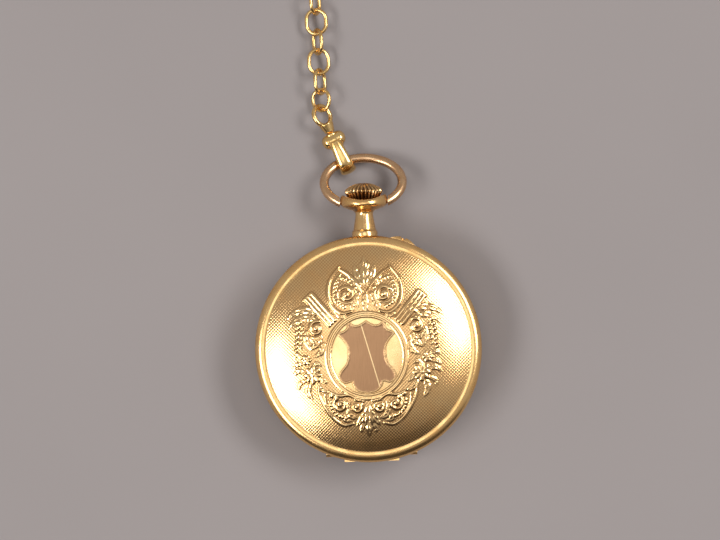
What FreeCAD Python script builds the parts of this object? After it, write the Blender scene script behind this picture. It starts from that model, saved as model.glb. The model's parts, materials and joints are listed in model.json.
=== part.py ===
"""A gold hunter-case pocket watch with its swivel clip and chain, as a FreeCAD document.

The watch lies on its back cover. The origin is the centre of the flat on that cover, +Z goes up through
the engraved front cover and +Y points to the pendant. Lengths are in millimetres, angles in degrees.
"""

import FreeCAD, Part

import math
import os

import Sketcher

V = FreeCAD.Vector
X, Y, Z = V(1, 0, 0), V(0, 1, 0), V(0, 0, 1)

doc = FreeCAD.newDocument("pocket_watch")
sheet = doc.addObject("Spreadsheet::Sheet", "sizes")


# ---------------------------------------------------------------- sizes

class Size:
    """A length that knows both its number and the expression that gives it from the sheet."""

    def __init__(self, value, text):
        self.value, self.text = value, text

    def _with(self, other, sign, value):
        return Size(value, f"({self.text} {sign} {size(other).text})")

    def __add__(self, other):
        return self._with(other, "+", self.value + size(other).value)

    def __sub__(self, other):
        return self._with(other, "-", self.value - size(other).value)

    def __mul__(self, other):
        return self._with(other, "*", self.value * size(other).value)

    def __truediv__(self, other):
        return self._with(other, "/", self.value / size(other).value)

    def __neg__(self):
        return Size(-self.value, f"(0 - {self.text})")

    __radd__ = __add__
    __rmul__ = __mul__

    def __rsub__(self, other):
        return size(other) - self


def size(number):
    """The number as a Size; a Size stays as it is."""
    return number if isinstance(number, Size) else Size(float(number), repr(float(number)))


class Sizes:
    """The driving dimensions: each is one cell of the sheet, with its name as the alias."""

    row = 0

    def add(self, **named):
        for name, number in named.items():
            Sizes.row += 1
            sheet.set(f"A{self.row}", name)
            sheet.set(f"B{self.row}", str(number))
            sheet.setAlias(f"B{self.row}", name)
            setattr(self, name, Size(float(number), f"sizes.{name}"))


S = Sizes()
# case: three storeys, back cover, band and front cover, all round
S.add(case_radius=25.0, lid_height=4.7, band_height=6.2, lid_wall=0.5, joint_gap=0.05)
S.add(rest_radius=6.5, dome_radius=12.0, dome_height=4.22, border_radius=22.6, border_height=1.35)
S.add(band_radius=24.6, band_bore=21.1)
# the two case hinges, each a row of five knuckles on one pin, along X on the side opposite the pendant
S.add(hinge_y=-23.0, hinge_rise=0.8, knuckle_radius=0.65, hinge_pin_radius=0.28, hinge_half=10.1)
S.add(hinge_flat=22.2, knuckle_gap=0.1)
# pendant, crown and bow
S.add(pendant_foot=24.2, collar_radius=2.85, collar_top=26.5, neck_radius=1.95, neck_y=30.0)
S.add(bowl_y=32.3, bowl_width=5.2, bowl_depth=3.7, bowl_rise=2.5, stem_bore=1.05, cup_radius=4.35)
S.add(crown_radius=4.14, crown_base=32.3, crown_waist=34.85, crown_top=36.7, crown_flutes=26)
S.add(stem_radius=0.9, stem_end=15.2)
S.add(bow_pivot_y=32.6, bow_wire=1.02, bow_half_width=8.68, bow_half_height=6.34, bow_centre=5.0, bow_tilt=30.0)
S.add(bow_tip_radius=0.55, bow_tip_x=4.35)
# setting pin and its olive-shaped guard, on the band beside the pendant
S.add(olive_angle=19.4, olive_length=5.7, olive_height=2.6, olive_reach=25.85, set_pin_radius=0.5)
# glass, dial and hands
S.add(bezel_radius=23.4, bezel_height=0.85, glass_radius=21.3, glass_seat=0.25, glass_thickness=0.55)
S.add(glass_dome=1.9, dial_radius=20.9, dial_thickness=0.5, seconds_x=9.2, hand_thickness=0.14)
# movement, from the plate under the dial down to the bridges
S.add(plate_radius=20.9, plate_bottom=7.9, plate_top=10.0, bridge_top=5.7, bridge_bottom=4.9)
S.add(barrel_x=-9.21, barrel_y=2.55, barrel_radius=8.85, barrel_bottom=6.45, barrel_top=7.75)
S.add(crown_wheel_y=11.0, balance_x=1.2, balance_y=-11.9, balance_radius=7.5)
# clip, chain and bar
S.add(hook_x=-4.1, hook_y=41.8, hook_turn=24.0, hook_inner=1.5, hook_width=2.5, eye_radius=2.3, eye_wire=0.5)
S.add(link_length=6.2, link_width=5.2, link_wire=0.82, link_gap=0.1, chain_z=2.42)
S.add(bar_length=30.0, bar_radius=1.5)
doc.recompute()
for alias, number in vars(S).items():
    number.value = float(sheet.get(alias))

BACK_JOINT = S.lid_height                       # where the back cover meets the band
FRONT_JOINT = S.lid_height + S.band_height      # where the front cover meets the band
MIDDLE = S.lid_height + S.band_height / 2       # height of the stem
TOP = S.lid_height * 2 + S.band_height
FRONT_AXIS = FRONT_JOINT - S.hinge_rise
BACK_AXIS = BACK_JOINT + S.hinge_rise


# ---------------------------------------------------------------- ways of making a piece

PIECES = {}


def piece(label, obj):
    """Names a finished sub-part."""
    obj.Label = label
    PIECES[label] = obj
    return obj


def bind(obj, prop, value):
    """Sets a property from the sheet."""
    obj.setExpression(prop, size(value).text)


def place(obj, base, rotation=None):
    """Puts an object at a place bound to the sheet, turned by a fixed rotation."""
    if rotation is not None:
        obj.Placement = FreeCAD.Placement(V(), rotation)
    for axis, value in zip("xyz", base):
        bind(obj, f"Placement.Base.{axis}", value)
    return obj


def draw(sketch, outline):
    """Draws a closed outline of corners (x, y), with ("via", x, y) where the stretch between two corners is an arc."""
    spots = [(size(p[-2]).value, size(p[-1]).value) for p in outline]
    area = sum(p[0] * q[1] - q[0] * p[1] for p, q in zip(spots, spots[1:] + spots[:1]))
    if area < 0:
        outline = list(reversed(outline))
    corners = [p for p in outline if p[0] != "via"]
    n, edge, last = len(corners), 0, []
    for i, p in enumerate(outline):
        if p[0] == "via":
            continue
        after = outline[(i + 1) % len(outline)]
        via = after if after[0] == "via" else None
        goal = outline[(i + 2) % len(outline)] if via else after
        a, b = V(size(p[0]).value, size(p[1]).value, 0), V(size(goal[0]).value, size(goal[1]).value, 0)
        if via is None:
            sketch.addGeometry(Part.LineSegment(a, b), False)
            last.append((edge, 1, 2))
        else:
            through = V(size(via[1]).value, size(via[2]).value, 0)
            to_axis = min(a.x, b.x) < 1e-9
            if to_axis:  # a dome's cap is a piece of a sphere
                pole, rim = (a, b) if a.x < b.x else (b, a)
                rise, up = abs(pole.y - rim.y), (1 if pole.y > rim.y else -1)
                radius = (rim.x ** 2 + rise ** 2) / (2 * rise)
                half = math.atan2(rim.x, radius - rise) / 2
                through = V(radius * math.sin(half), pole.y - up * radius * (1 - math.cos(half)), 0)
            clockwise = (through - a).cross(b - through).z < 0
            sketch.addGeometry(Part.Arc(b, through, a) if clockwise else Part.Arc(a, through, b), False)
            last.append((edge, 2, 1) if clockwise else (edge, 1, 2))
            if to_axis:
                sketch.addConstraint(Sketcher.Constraint("PointOnObject", edge, 3, -2))
            else:
                sketch.addConstraint(Sketcher.Constraint("Radius", edge, sketch.Geometry[edge].Radius))
        edge += 1
    for i, (which, start, end) in enumerate(last):
        following, its_start, _ = last[(i + 1) % n]
        sketch.addConstraint(Sketcher.Constraint("Coincident", which, end, following, its_start))
        pin(sketch, which, start, corners[i])


def pin(sketch, geometry, end, point):
    """Holds one end of a line at a point whose coordinates come from the sheet."""
    for kind, value in zip(("DistanceX", "DistanceY"), point):
        value = size(value)
        index = sketch.addConstraint(Sketcher.Constraint(kind, -1, 1, geometry, end, value.value))
        sketch.setExpression(f"Constraints[{index}]", value.text)


def new_sketch(body, plane, outline=None):
    """A sketch on one of the body's own origin planes."""
    sketch = body.newObject("Sketcher::SketchObject", body.Name + "_sketch")
    origin = next(f for f in body.Origin.OriginFeatures if f.Role == plane)
    sketch.AttachmentSupport = [(origin, "")]
    sketch.MapMode = "FlatFace"
    if outline:
        draw(sketch, outline)
    return sketch


def turned(name, outline, axis="Z"):
    """A body turned on a lathe: the outline holds (radius, height) and spins about Z, or about Y."""
    body = doc.addObject("PartDesign::Body", name)
    sketch = new_sketch(body, "XZ_Plane" if axis == "Z" else "XY_Plane", outline)
    spin = body.newObject("PartDesign::Revolution", name + "_turn")
    spin.Profile = sketch
    spin.ReferenceAxis = (sketch, ["V_Axis"])
    spin.Angle = 360
    sketch.Visibility = False
    return body


def domed(name, outer, inner):
    """A hollow dome: a solid one less the one inside it."""
    return cut(name, turned(name + "_outer", outer), turned(name + "_inner", inner))


def cylinder(name, radius, length, base, along=Z):
    obj = doc.addObject("Part::Cylinder", name)
    bind(obj, "Radius", radius)
    bind(obj, "Height", length)
    return place(obj, base, FreeCAD.Rotation(Z, along))


def box(name, low, high):
    """A block between two opposite corners."""
    obj = doc.addObject("Part::Box", name)
    for prop, a, b in zip(("Length", "Width", "Height"), low, high):
        bind(obj, prop, size(b) - a)
    return place(obj, low)


def joined(name, parts):
    obj = doc.addObject("Part::MultiFuse", name)
    obj.Shapes = parts
    obj.Refine = True
    return obj


def cut(name, base, *tools):
    """The base less its tools."""
    obj = doc.addObject("Part::Cut", name)
    obj.Base = base
    obj.Tool = tools[0] if len(tools) == 1 else joined(name + "_tools", list(tools))
    obj.Refine = True
    return obj


def common(name, a, b):
    obj = doc.addObject("Part::Common", name)
    obj.Base, obj.Tool = a, b
    return obj


def shaped(label, shape, placement=None):
    """A sub-part whose form is worked out in code."""
    obj = doc.addObject("Part::Feature", label)
    obj.Shape = shape
    if placement is not None:
        obj.Placement = placement
    return piece(label, obj)


def at(x=0, y=0, z=0, rotation=None):
    return FreeCAD.Placement(V(x, y, z), rotation or FreeCAD.Rotation())


def ring(radius, height, low, bore=0):
    """A disc, or a ring where it has a bore, about Z."""
    disc = Part.makeCylinder(radius, height, V(0, 0, low))
    return disc.cut(Part.makeCylinder(bore, height, V(0, 0, low))) if bore else disc


def fused(first, *others):
    return first.fuse(list(others)).removeSplitter()


# ---------------------------------------------------------------- case

def cover_shell(name, joint, way):
    """A cover's dome: way is +1 for the front and -1 for the back, joint is the height it closes on."""
    def h(up):
        return joint + size(up) * way

    wall, top, dome = S.lid_wall, S.lid_height, S.dome_height
    flat, mid = ([], ("via", 6.4, h(top - 0.13))) if way > 0 else ([(S.rest_radius, h(top))], ("via", 9.4, h(top - 0.1)))
    outer = [
        (0, h(S.joint_gap)), (S.case_radius, h(S.joint_gap)), (S.case_radius, h(0.32)),
        ("via", S.case_radius - 0.55, h(1.02)), (S.border_radius, h(S.border_height)),
        ("via", 17.6, h(3.07)), (S.dome_radius, h(dome)), mid, *flat, (0, h(top))]
    inner = [
        (0, h(-1)), (S.case_radius - 1.4, h(-1)), (S.case_radius - 1.4, h(0.72)), (S.border_radius - 0.15, h(0.92)),
        ("via", 17.3, h(2.62)), (S.dome_radius, h(dome - wall - 0.02)),
        ("via", 6.4, h(top - 0.13 - wall)), (0, h(top - wall))]
    return domed(name, outer, inner)


def knuckles(name, axis_z, which):
    """The tubes of one leaf of a hinge, and the places along X that they take."""
    step = S.hinge_half * 2 / 5
    found = []
    for k in which:
        start = step * (k - 1) - S.hinge_half + S.knuckle_gap / 2
        found.append(cylinder(f"{name}_tube{k}", S.knuckle_radius, step - S.knuckle_gap,
                              (start, S.hinge_y, axis_z), X))
    return found


def webs(name, which, y0, y1, z0, z1):
    """The blocks that tie the tubes of one leaf to their part."""
    step = S.hinge_half * 2 / 5
    found = []
    for k in which:
        start = step * (k - 1) - S.hinge_half + S.knuckle_gap / 2
        found.append(box(f"{name}_web{k}", (start, y0, z0), (start + step - S.knuckle_gap, y1, z1)))
    return found


def hinge_bore(name, axis_z):
    return cylinder(name, S.hinge_pin_radius + 0.03, S.hinge_half * 2 + 1, (-S.hinge_half - 0.5, S.hinge_y, axis_z), X)


for label, joint, way, axis in (("front_cover", FRONT_JOINT, 1, FRONT_AXIS), ("back_cover", BACK_JOINT, -1, BACK_AXIS)):
    shell = cover_shell(label + "_shell", joint, way)
    low, high = (axis, joint + 0.3) if way > 0 else (joint - 0.3, axis)
    near, far = (axis, joint - 0.05) if way > 0 else (joint + 0.05, axis)
    leaf = joined(label + "_leaf", [shell] + knuckles(label, axis, (2, 4))
                  + webs(label, (2, 4), S.hinge_y - 1.75, S.hinge_y - 0.5, low, high)
                  + webs(label + "_near", (2, 4), S.hinge_y - 0.6, S.hinge_y, near, far))
    piece(label, cut(label, leaf, hinge_bore(label + "_bore", axis)))

# the inner dust cover, a plain dish under the back cover
dish_rim = BACK_JOINT - 0.5
dish = domed("cuvette_dish", [
    (0, dish_rim - 3.15), ("via", 6.4, dish_rim - 3.02), (S.dome_radius + 0.1, dish_rim - 2.7),
    ("via", 17.5, dish_rim - 1.65), (22.45, dish_rim), (23.0, dish_rim), (23.0, BACK_JOINT), (0, BACK_JOINT),
], [
    (0, dish_rim - 2.85), ("via", 6.4, dish_rim - 2.73), (S.dome_radius, dish_rim - 2.4),
    ("via", 17.3, dish_rim - 1.35), (22.2, dish_rim + 0.15), (22.6, dish_rim + 0.3), (22.6, BACK_JOINT + 1),
    (0, BACK_JOINT + 1),
])
leaf = joined("cuvette_leaf", [dish] + knuckles("cuvette", BACK_AXIS, (3,))
              + webs("cuvette", (3,), S.hinge_y - 0.3, S.hinge_y + 0.35, BACK_JOINT - 0.35, BACK_AXIS))
piece("cuvette", cut("cuvette", leaf, hinge_bore("cuvette_bore", BACK_AXIS)))

# the band between the covers, cut flat for the hinges
wall = turned("band_wall", [
    (S.band_bore, BACK_JOINT), (S.band_radius - 0.2, BACK_JOINT), ("via", S.band_radius, MIDDLE),
    (S.band_radius - 0.2, FRONT_JOINT), (S.band_bore, FRONT_JOINT), (S.band_bore, FRONT_JOINT - 0.6),
    (S.band_bore + 0.95, FRONT_JOINT - 0.6), (S.band_bore + 0.95, FRONT_JOINT - 1.8),
    (S.band_bore, FRONT_JOINT - 1.8),
])
flat = box("band_flat", (-S.hinge_half - 0.15, -26, BACK_JOINT - 1), (S.hinge_half + 0.15, -S.hinge_flat, FRONT_JOINT + 1))
stem_hole = cylinder("band_stem_hole", S.stem_bore, 8, (0, 18, MIDDLE), Y)
pin_way = FreeCAD.Rotation(Z, -S.olive_angle.value).multVec(Y)
pin_hole = cylinder("band_pin_hole", S.set_pin_radius + 0.04, 8, (pin_way.x * 19, pin_way.y * 19, MIDDLE), pin_way)
open_band = cut("band_cut", wall, flat, stem_hole, pin_hole)
leaves = (knuckles("band_front", FRONT_AXIS, (1, 3, 5)) + knuckles("band_back", BACK_AXIS, (1, 5))
          + webs("band_front", (1, 3, 5), S.hinge_y, 0.3 - S.hinge_flat, FRONT_AXIS - 0.45, FRONT_AXIS + 0.45)
          + webs("band_back", (1, 5), S.hinge_y, 0.3 - S.hinge_flat, BACK_AXIS - 0.45, BACK_AXIS + 0.45))
piece("case_band", cut("case_band", joined("band_leaves", [open_band] + leaves),
                       hinge_bore("band_bore_front", FRONT_AXIS), hinge_bore("band_bore_back", BACK_AXIS)))
for label, axis in (("front_hinge_pin", FRONT_AXIS), ("back_hinge_pin", BACK_AXIS)):
    piece(label, cylinder(label, S.hinge_pin_radius, S.hinge_half * 2 - 0.1, (0.05 - S.hinge_half, S.hinge_y, axis), X))


def arc_strip(r_in, r_out, low, high, middle, half):
    """A stretch of a ring, half a turn at most, about Z."""
    whole = Part.makeCylinder(r_out, high - low, V(0, 0, low), Z, 2 * half)
    whole = whole.cut(Part.makeCylinder(r_in, high - low, V(0, 0, low), Z, 2 * half))
    whole.rotate(V(), Z, middle - half)
    return whole


groove = FRONT_JOINT.value - 1.7
for label, middle, half in (("lift_spring", -52, 42), ("lock_spring", 128, 30)):
    strip = arc_strip(S.band_bore.value + 0.3, S.band_bore.value + 0.65, groove, groove + 0.95, middle, half)
    foot = arc_strip(S.band_bore.value + 0.3, S.band_bore.value + 0.95, groove, groove + 0.95, middle + half - 2, 2)
    shaped(label, fused(strip, foot))

# ---------------------------------------------------------------- bezel, glass and dial

piece("bezel", turned("bezel_body", [
    (20.6, FRONT_JOINT), (S.bezel_radius, FRONT_JOINT), (S.bezel_radius, FRONT_JOINT + 0.3),
    ("via", 22.7, FRONT_JOINT + 0.66), (21.9, FRONT_JOINT + S.bezel_height - 0.05),
    (S.glass_radius + 0.02, FRONT_JOINT + S.bezel_height), (S.glass_radius + 0.02, FRONT_JOINT + S.glass_seat),
    (20.6, FRONT_JOINT + S.glass_seat)]))
glass_low = FRONT_JOINT + S.glass_seat
piece("crystal", domed("crystal_body", [
    (0, glass_low), (S.glass_radius, glass_low), (S.glass_radius, glass_low + S.glass_thickness),
    (20.9, glass_low + S.glass_thickness + 0.12), ("via", 11, glass_low + S.glass_dome - 0.1),
    (0, glass_low + S.glass_dome + 0.35),
], [
    (0, glass_low - 1), (20.7, glass_low - 1), (20.7, glass_low), (20.6, glass_low + 0.12),
    ("via", 11, glass_low + S.glass_dome - 0.78), (0, glass_low + S.glass_dome - 0.35)]))
DIAL = S.plate_top + S.dial_thickness
face = cylinder("dial_disc", S.dial_radius - 0.15, S.dial_thickness, (0, 0, S.plate_top))
piece("dial", cut("dial", face, cylinder("dial_hole", 1.35, 2, (0, 0, S.plate_top - 0.5)),
                  cylinder("dial_seconds_hole", 0.45, 2, (S.seconds_x, 0, S.plate_top - 0.5)),
                  cut("dial_seconds_sink", cylinder("dial_sink", 4.55, 0.14, (S.seconds_x, 0, DIAL - 0.14)),
                      cylinder("dial_sink_core", 0.46, 0.4, (S.seconds_x, 0, DIAL - 0.3)))))

# ---------------------------------------------------------------- pendant, crown, bow, setting pin

neck = turned("pendant_neck", [
    (S.stem_bore, S.pendant_foot), (S.collar_radius, S.pendant_foot), (S.collar_radius, S.collar_top - 0.25),
    (S.collar_radius - 0.25, S.collar_top), (S.neck_radius + 0.45, S.collar_top + 0.12),
    ("via", S.neck_radius + 0.02, S.neck_y - 1.2), (S.neck_radius + 0.12, S.neck_y + 0.35),
    ("via", 3.9, 31.05), (S.bowl_width, 31.9), (S.bowl_width, S.bow_pivot_y + 0.75),
    ("via", S.bowl_width - 0.12, 33.85), (S.bowl_width - 0.4, 34.1), (S.cup_radius + 0.12, 34.1),
    (S.cup_radius, 33.9), (S.cup_radius, 32.0), (S.cup_radius - 0.4, 31.65), (S.stem_bore, 31.65)], "Y")
place(neck, (0, 0, MIDDLE))
piece("pendant", cut("pendant", neck,
                     cylinder("pendant_bow_holes", S.bow_tip_radius + 0.04, 14, (-7, S.bow_pivot_y, MIDDLE), X)))

onion = turned("crown_body", [
    (S.stem_radius, S.crown_base), (3.3, S.crown_base), ("via", 3.95, 33.4), (S.crown_radius, S.crown_waist - 0.35),
    ("via", S.crown_radius - 0.12, S.crown_waist + 0.45), (3.35, S.crown_waist + 1.15),
    ("via", 2.0, S.crown_top - 0.2), (0, S.crown_top), (0, S.crown_base + 2.0), (S.stem_radius, S.crown_base + 2.0)], "Y")
place(onion, (0, 0, MIDDLE))
count = int(S.crown_flutes.value)
flutes = []
for k in range(count):
    out = FreeCAD.Rotation(Y, 360 * k / count).multVec(X)
    r = S.crown_radius.value + 0.1
    flutes.append(Part.makeCylinder(0.24, 2.6, V(out.x * r, S.crown_base.value + 0.7, MIDDLE.value + out.z * r), Y))
cutter = doc.addObject("Part::Feature", "crown_flute_cutters")
cutter.Shape = Part.makeCompound(flutes)
piece("crown", cut("crown", onion, cutter))

stem = [cylinder("stem_rod", S.stem_radius, S.crown_base + 1.9 - 20.6, (0, 20.6, MIDDLE), Y),
        cylinder("stem_journal", 0.6, 20.6 - S.stem_end, (0, S.stem_end, MIDDLE), Y)]
piece("winding_stem", joined("winding_stem", stem))
teeth = cylinder("pinion_disc", 2.05, 1.3, (0, 16.1, MIDDLE), Y)
slots = []
for k in range(18):
    way = FreeCAD.Rotation(Y, 20 * k).multVec(X)
    slot = Part.makeBox(0.9, 0.62, 0.34, V(1.5, 16.05, -0.17))
    slot.rotate(V(), Y, 20 * k)
    slots.append(slot.translated(V(0, 0, MIDDLE.value)))
slot_tool = doc.addObject("Part::Feature", "pinion_slots")
slot_tool.Shape = Part.makeCompound(slots)
piece("winding_pinion", cut("winding_pinion", teeth, slot_tool,
                            cylinder("pinion_bore", 0.62, 3, (0, 15, MIDDLE), Y)))

# the bow is an oval wire whose ends turn in to the pendant
tilt = math.radians(S.bow_tilt.value)
first, last = math.radians(-58), math.radians(238)
oval = Part.Ellipse(V(0, S.bow_centre.value, 0), S.bow_half_width.value, S.bow_half_height.value)
arc = oval.toShape(first, last)
start = Part.Wire([Part.makeCircle(S.bow_wire.value, oval.value(first), oval.tangent(first)[0])])
loop = Part.Wire([arc]).makePipeShell([start], True, False)
loop = loop.cut(Part.makeBox(10.7, 4.5, 4, V(-5.35, -2.6, -2)))
tips = [Part.makeCylinder(S.bow_tip_radius.value, 6.2 - S.bow_tip_x.value - 0.12,
                          V(side * (S.bow_tip_x.value + 0.12), 0, 0), X * side) for side in (1, -1)]
shaped("bow", loop.fuse(tips), at(0, S.bow_pivot_y.value, MIDDLE.value, FreeCAD.Rotation(X, -S.bow_tilt.value)))

# the olive on the band is a rounded block with a notch, and the setting pin stands in the notch
olive_turn = FreeCAD.Rotation(Z, -S.olive_angle.value)
length, tall = S.olive_length.value, S.olive_height.value
reach = S.olive_reach.value
plan = Part.makeCylinder(4.6, tall, V(0, reach - 4.6, -tall / 2)).common(
    Part.makeBox(length, 6, tall, V(-length / 2, reach - 3, -tall / 2)))
pillow = Part.makeCylinder(tall / 2 + 0.05, length + 1, V(-length / 2 - 0.5, 0, 0), X)
pillow = pillow.fuse(Part.makeBox(length + 1, reach - 1.0, tall + 0.1, V(-length / 2 - 0.5, 0, -tall / 2 - 0.05)))
nose = Part.makeCylinder(tall / 2 + 0.05, length + 1, V(-length / 2 - 0.5, reach - 1.2, 0), X)
body = plan.common(nose.fuse(Part.makeBox(length + 1, 6, tall, V(-length / 2 - 0.5, reach - 7.2, -tall / 2))))
body = body.cut(Part.makeCylinder(S.band_radius.value - 0.15, tall + 2, V(0, 0, -tall / 2 - 1)))
notch = Part.makePolygon([V(-0.62, reach + 0.1, 0), V(0.62, reach + 0.1, 0), V(0.0, reach - 1.05, 0), V(-0.62, reach + 0.1, 0)])
notch = Part.Face(notch).extrude(V(0, 0, tall + 2)).translated(V(0, 0, -tall / 2 - 1))
hole = Part.makeCylinder(S.set_pin_radius.value + 0.04, 8, V(0, 20, 0), Y)
body = body.cut([notch, hole])
shaped("olivette", body, at(0, 0, MIDDLE.value, olive_turn))
button = Part.makeCylinder(S.set_pin_radius.value, 3.3, V(0, 22.2, 0), Y)
button = button.fuse(Part.makeCylinder(0.3, 1.0, V(0, 21.7, 0), Y))
shaped("setting_pin", button.common(Part.makeCylinder(25.5, 4, V(0, 0, -2))), at(0, 0, MIDDLE.value, olive_turn))

# ---------------------------------------------------------------- movement


def gear(count, module, low, high, phase=0.0, bore=0.0, arms=0, full=0.78):
    """A spur wheel about Z. Its first tooth stands at the angle phase, and full thins its teeth for backlash."""
    pitch = count * module / 2
    tip, root = pitch + 0.8 * module, pitch - 1.0 * module
    points = []
    for k in range(count):
        centre = math.radians(phase) + 2 * math.pi * k / count
        for r, share in ((root, -0.40), (tip, -0.14), (tip, 0.14), (root, 0.40)):
            t = centre + share * full * 2 * math.pi / count
            points.append(V(r * math.cos(t), r * math.sin(t), low))
    blank = Part.Face(Part.makePolygon(points + points[:1])).extrude(V(0, 0, high - low))
    if arms:
        inner, outer = max(bore + 0.5, root * 0.2), root - max(0.35, root * 0.13)
        windows = ring(outer, high - low + 2, low - 1, inner)
        bars = [Part.makeBox(outer + 1, root * 0.14, high - low + 2, V(0, -root * 0.07, low - 1)) for _ in range(arms)]
        for k, bar in enumerate(bars):
            bar.rotate(V(), Z, 360 * k / arms)
        blank = blank.cut(windows.cut(bars))
    if bore:
        blank = blank.cut(Part.makeCylinder(bore, high - low + 2, V(0, 0, low - 1)))
    return blank


def rod(radius, low, high):
    return Part.makeCylinder(radius, high - low, V(0, 0, low))


def bearing(from_xy, to_xy):
    """The angle of the line of centres, in degrees."""
    return math.degrees(math.atan2(to_xy[1] - from_xy[1], to_xy[0] - from_xy[0]))


def meshing(from_xy, to_xy, count, wheel, wheel_phase):
    """The phase that puts a gap of the second wheel (count teeth) where the first has the tooth nearest to the line."""
    line = bearing(from_xy, to_xy)
    off = (line - wheel_phase + 180 / wheel) % (360 / wheel) - 180 / wheel
    return line + 180 + off * wheel / count + 180 / count


BOTTOM, PLATE = S.plate_bottom.value, S.plate_top.value
BRIDGE, UNDER = S.bridge_top.value, S.bridge_bottom.value
centre, fourth = (0.0, 0.0), (S.seconds_x.value, 0.0)
barrel_at, crown_at = (S.barrel_x.value, S.barrel_y.value), (0.0, S.crown_wheel_y.value)
third, escape = (5.805, 4.63), (6.38, -4.20)
balance = (S.balance_x.value, S.balance_y.value)
fork = (4.315, -7.27)
minute_at, cock_foot = (-4.51, -1.64), (12.3, -12.2)
click_at = (-17.4, 7.9)

# main plate with its pillar-side face down, and the motion work sunk in its dial side
plate = ring(S.plate_radius.value, PLATE - BOTTOM, BOTTOM)
sinks = [rod(4.5, PLATE - 0.9, PLATE + 1), rod(4.15, PLATE - 0.9, PLATE + 1).translated(V(*minute_at, 0))]
holes = [rod(0.42, BOTTOM - 1, PLATE + 1)] + [rod(0.32, BOTTOM - 1, PLATE + 1).translated(V(*at_, 0))
                                              for at_ in (fourth, third, escape, balance, fork)]
holes += [rod(0.75, BOTTOM - 1, PLATE + 1).translated(V(*barrel_at, 0)),
          Part.makeCylinder(0.95, 8, V(0, 14.2, MIDDLE.value), Y),
          Part.makeCylinder(2.35, 1.9, V(0, 15.8, MIDDLE.value), Y)]
stud = rod(0.3, BOTTOM + 0.5, PLATE - 0.1).translated(V(*minute_at, 0))
shaped("main_plate", plate.cut(sinks + holes).fuse(stud).removeSplitter())

# barrel bridge and train bridge stand on the plate by blocks at its edge
def bridge(mask, keep_out, feet, bores):
    """A flat bridge over part of the plate, with feet up to the plate."""
    flat_part = rod(20.3, UNDER, BRIDGE).common(mask)
    flat_part = flat_part.cut([rod(r, UNDER - 1, BRIDGE + 3).translated(V(x, y, 0)) for x, y, r in keep_out])
    posts = [rod(r, BRIDGE - 0.2, BOTTOM).translated(V(x, y, 0)) for x, y, r in feet]
    tall = flat_part.fuse(posts)
    return tall.cut([rod(r, 0, BOTTOM + 1).translated(V(x, y, 0)) for x, y, r in bores]).removeSplitter()


screws_at = [(-18.2, -5.6), (-7.4, 17.6), (7.6, 17.3), (18.3, 3.6), (15.0, -9.6)]
half_plane = Part.makeBox(60, 60, 20, V(-60, -8.2, 0))
upper = Part.makeBox(60, 60, 20, V(-30, 9.5, 0))
ratchet_r, crown_r = 7.35, 5.9
slab = half_plane.cut(Part.makeBox(60, 60, 20, V(-1.7, -30, 0))).fuse(upper).removeSplitter()
click_mid = tuple(b + (c - b) * 8.3 / 9.78 for b, c in zip(barrel_at, click_at))
barrel_bridge = bridge(slab, [(0, 0, 7.2), (*barrel_at, ratchet_r), (*crown_at, crown_r), (*balance, 8.3),
                              (*click_at, 1.2), (*click_mid, 1.1)],
                       [(-18.2, -5.6, 1.5), (-7.4, 17.6, 1.6), (7.6, 17.3, 1.6)],
                       [(x, y, 0.5) for x, y in screws_at[:3]])
floor = rod(ratchet_r + 0.5, BRIDGE, BRIDGE + 0.55).translated(V(*barrel_at, 0)).cut([rod(7.2, 0, 9)])
floor = floor.fuse([rod(crown_r + 0.4, BRIDGE, BRIDGE + 0.55).translated(V(*crown_at, 0)).cut(rod(7.2, 0, 9)),
                    rod(1.7, BRIDGE, BRIDGE + 0.55).translated(V(*click_at, 0)).common(rod(20.3, 0, 9)),
                    rod(0.33, BRIDGE - 0.6, BRIDGE + 0.3).translated(V(*click_at, 0))])
floor = floor.cut([rod(8.3, 0, 9).translated(V(*balance, 0)), rod(0.62, 0, 9).translated(V(*barrel_at, 0)), rod(0.52, 0, 9).translated(V(*crown_at, 0)),
                   Part.makeCylinder(2.6, 6, V(0, 15.6, MIDDLE.value), Y)])
barrel_bridge = barrel_bridge.fuse(floor).cut(Part.makeCylinder(2.6, 6, V(0, 15.6, MIDDLE.value), Y))
shaped("barrel_bridge", barrel_bridge.removeSplitter())

right_side = Part.makeBox(60, 12.9, 20, V(-1.5, -4.9, 0)).cut(Part.makeBox(30, 30, 20, V(-31.5, -15, 0)))
train_bridge = bridge(right_side, [(*barrel_at, 7.6), (*balance, 8.0), (*crown_at, 5.95)], [(18.3, 3.6, 1.5)],
                      [(18.3, 3.6, 0.5), (0, 0, 0.27), (*third, 0.22), (*fourth, 0.22)])
train_bridge = train_bridge.cut(rod(0.22, 0, 9).translated(V(*escape, 0)))
post = Part.makeBox(2.6, 3.0, BOTTOM - BRIDGE + 0.2, V(16.8, -4.6, BRIDGE - 0.2))
shaped("train_bridge", train_bridge.fuse(post).removeSplitter())

# the cocks of the balance and of the pallet fork
foot = rod(1.5, 3.65, BOTTOM).translated(V(*cock_foot, 0))
arm = Part.makeBox(11.1, 2.8, 0.85, V(0, -1.4, 3.65))
arm.rotate(V(), Z, bearing(balance, cock_foot))
arm = arm.translated(V(*balance, 0))
head = rod(2.0, 3.65, 4.5).translated(V(*balance, 0))
shaped("balance_cock", fused(foot, arm, head).cut([rod(0.3, 0, 9).translated(V(*balance, 0)),
                                                  rod(0.5, 0, 9).translated(V(*cock_foot, 0))]))
strip = Part.makeBox(6.6, 1.5, 0.45, V(-1.0, -0.75, 6.0))
strip.rotate(V(), Z, bearing(fork, (9.4, -10.4)))
strip = strip.translated(V(*fork, 0))
pillar = rod(0.75, 6.0, BOTTOM).translated(V(9.4, -10.4, 0))
shaped("pallet_bridge", fused(strip, pillar).cut(rod(0.16, 0, 7).translated(V(*fork, 0))))


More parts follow.
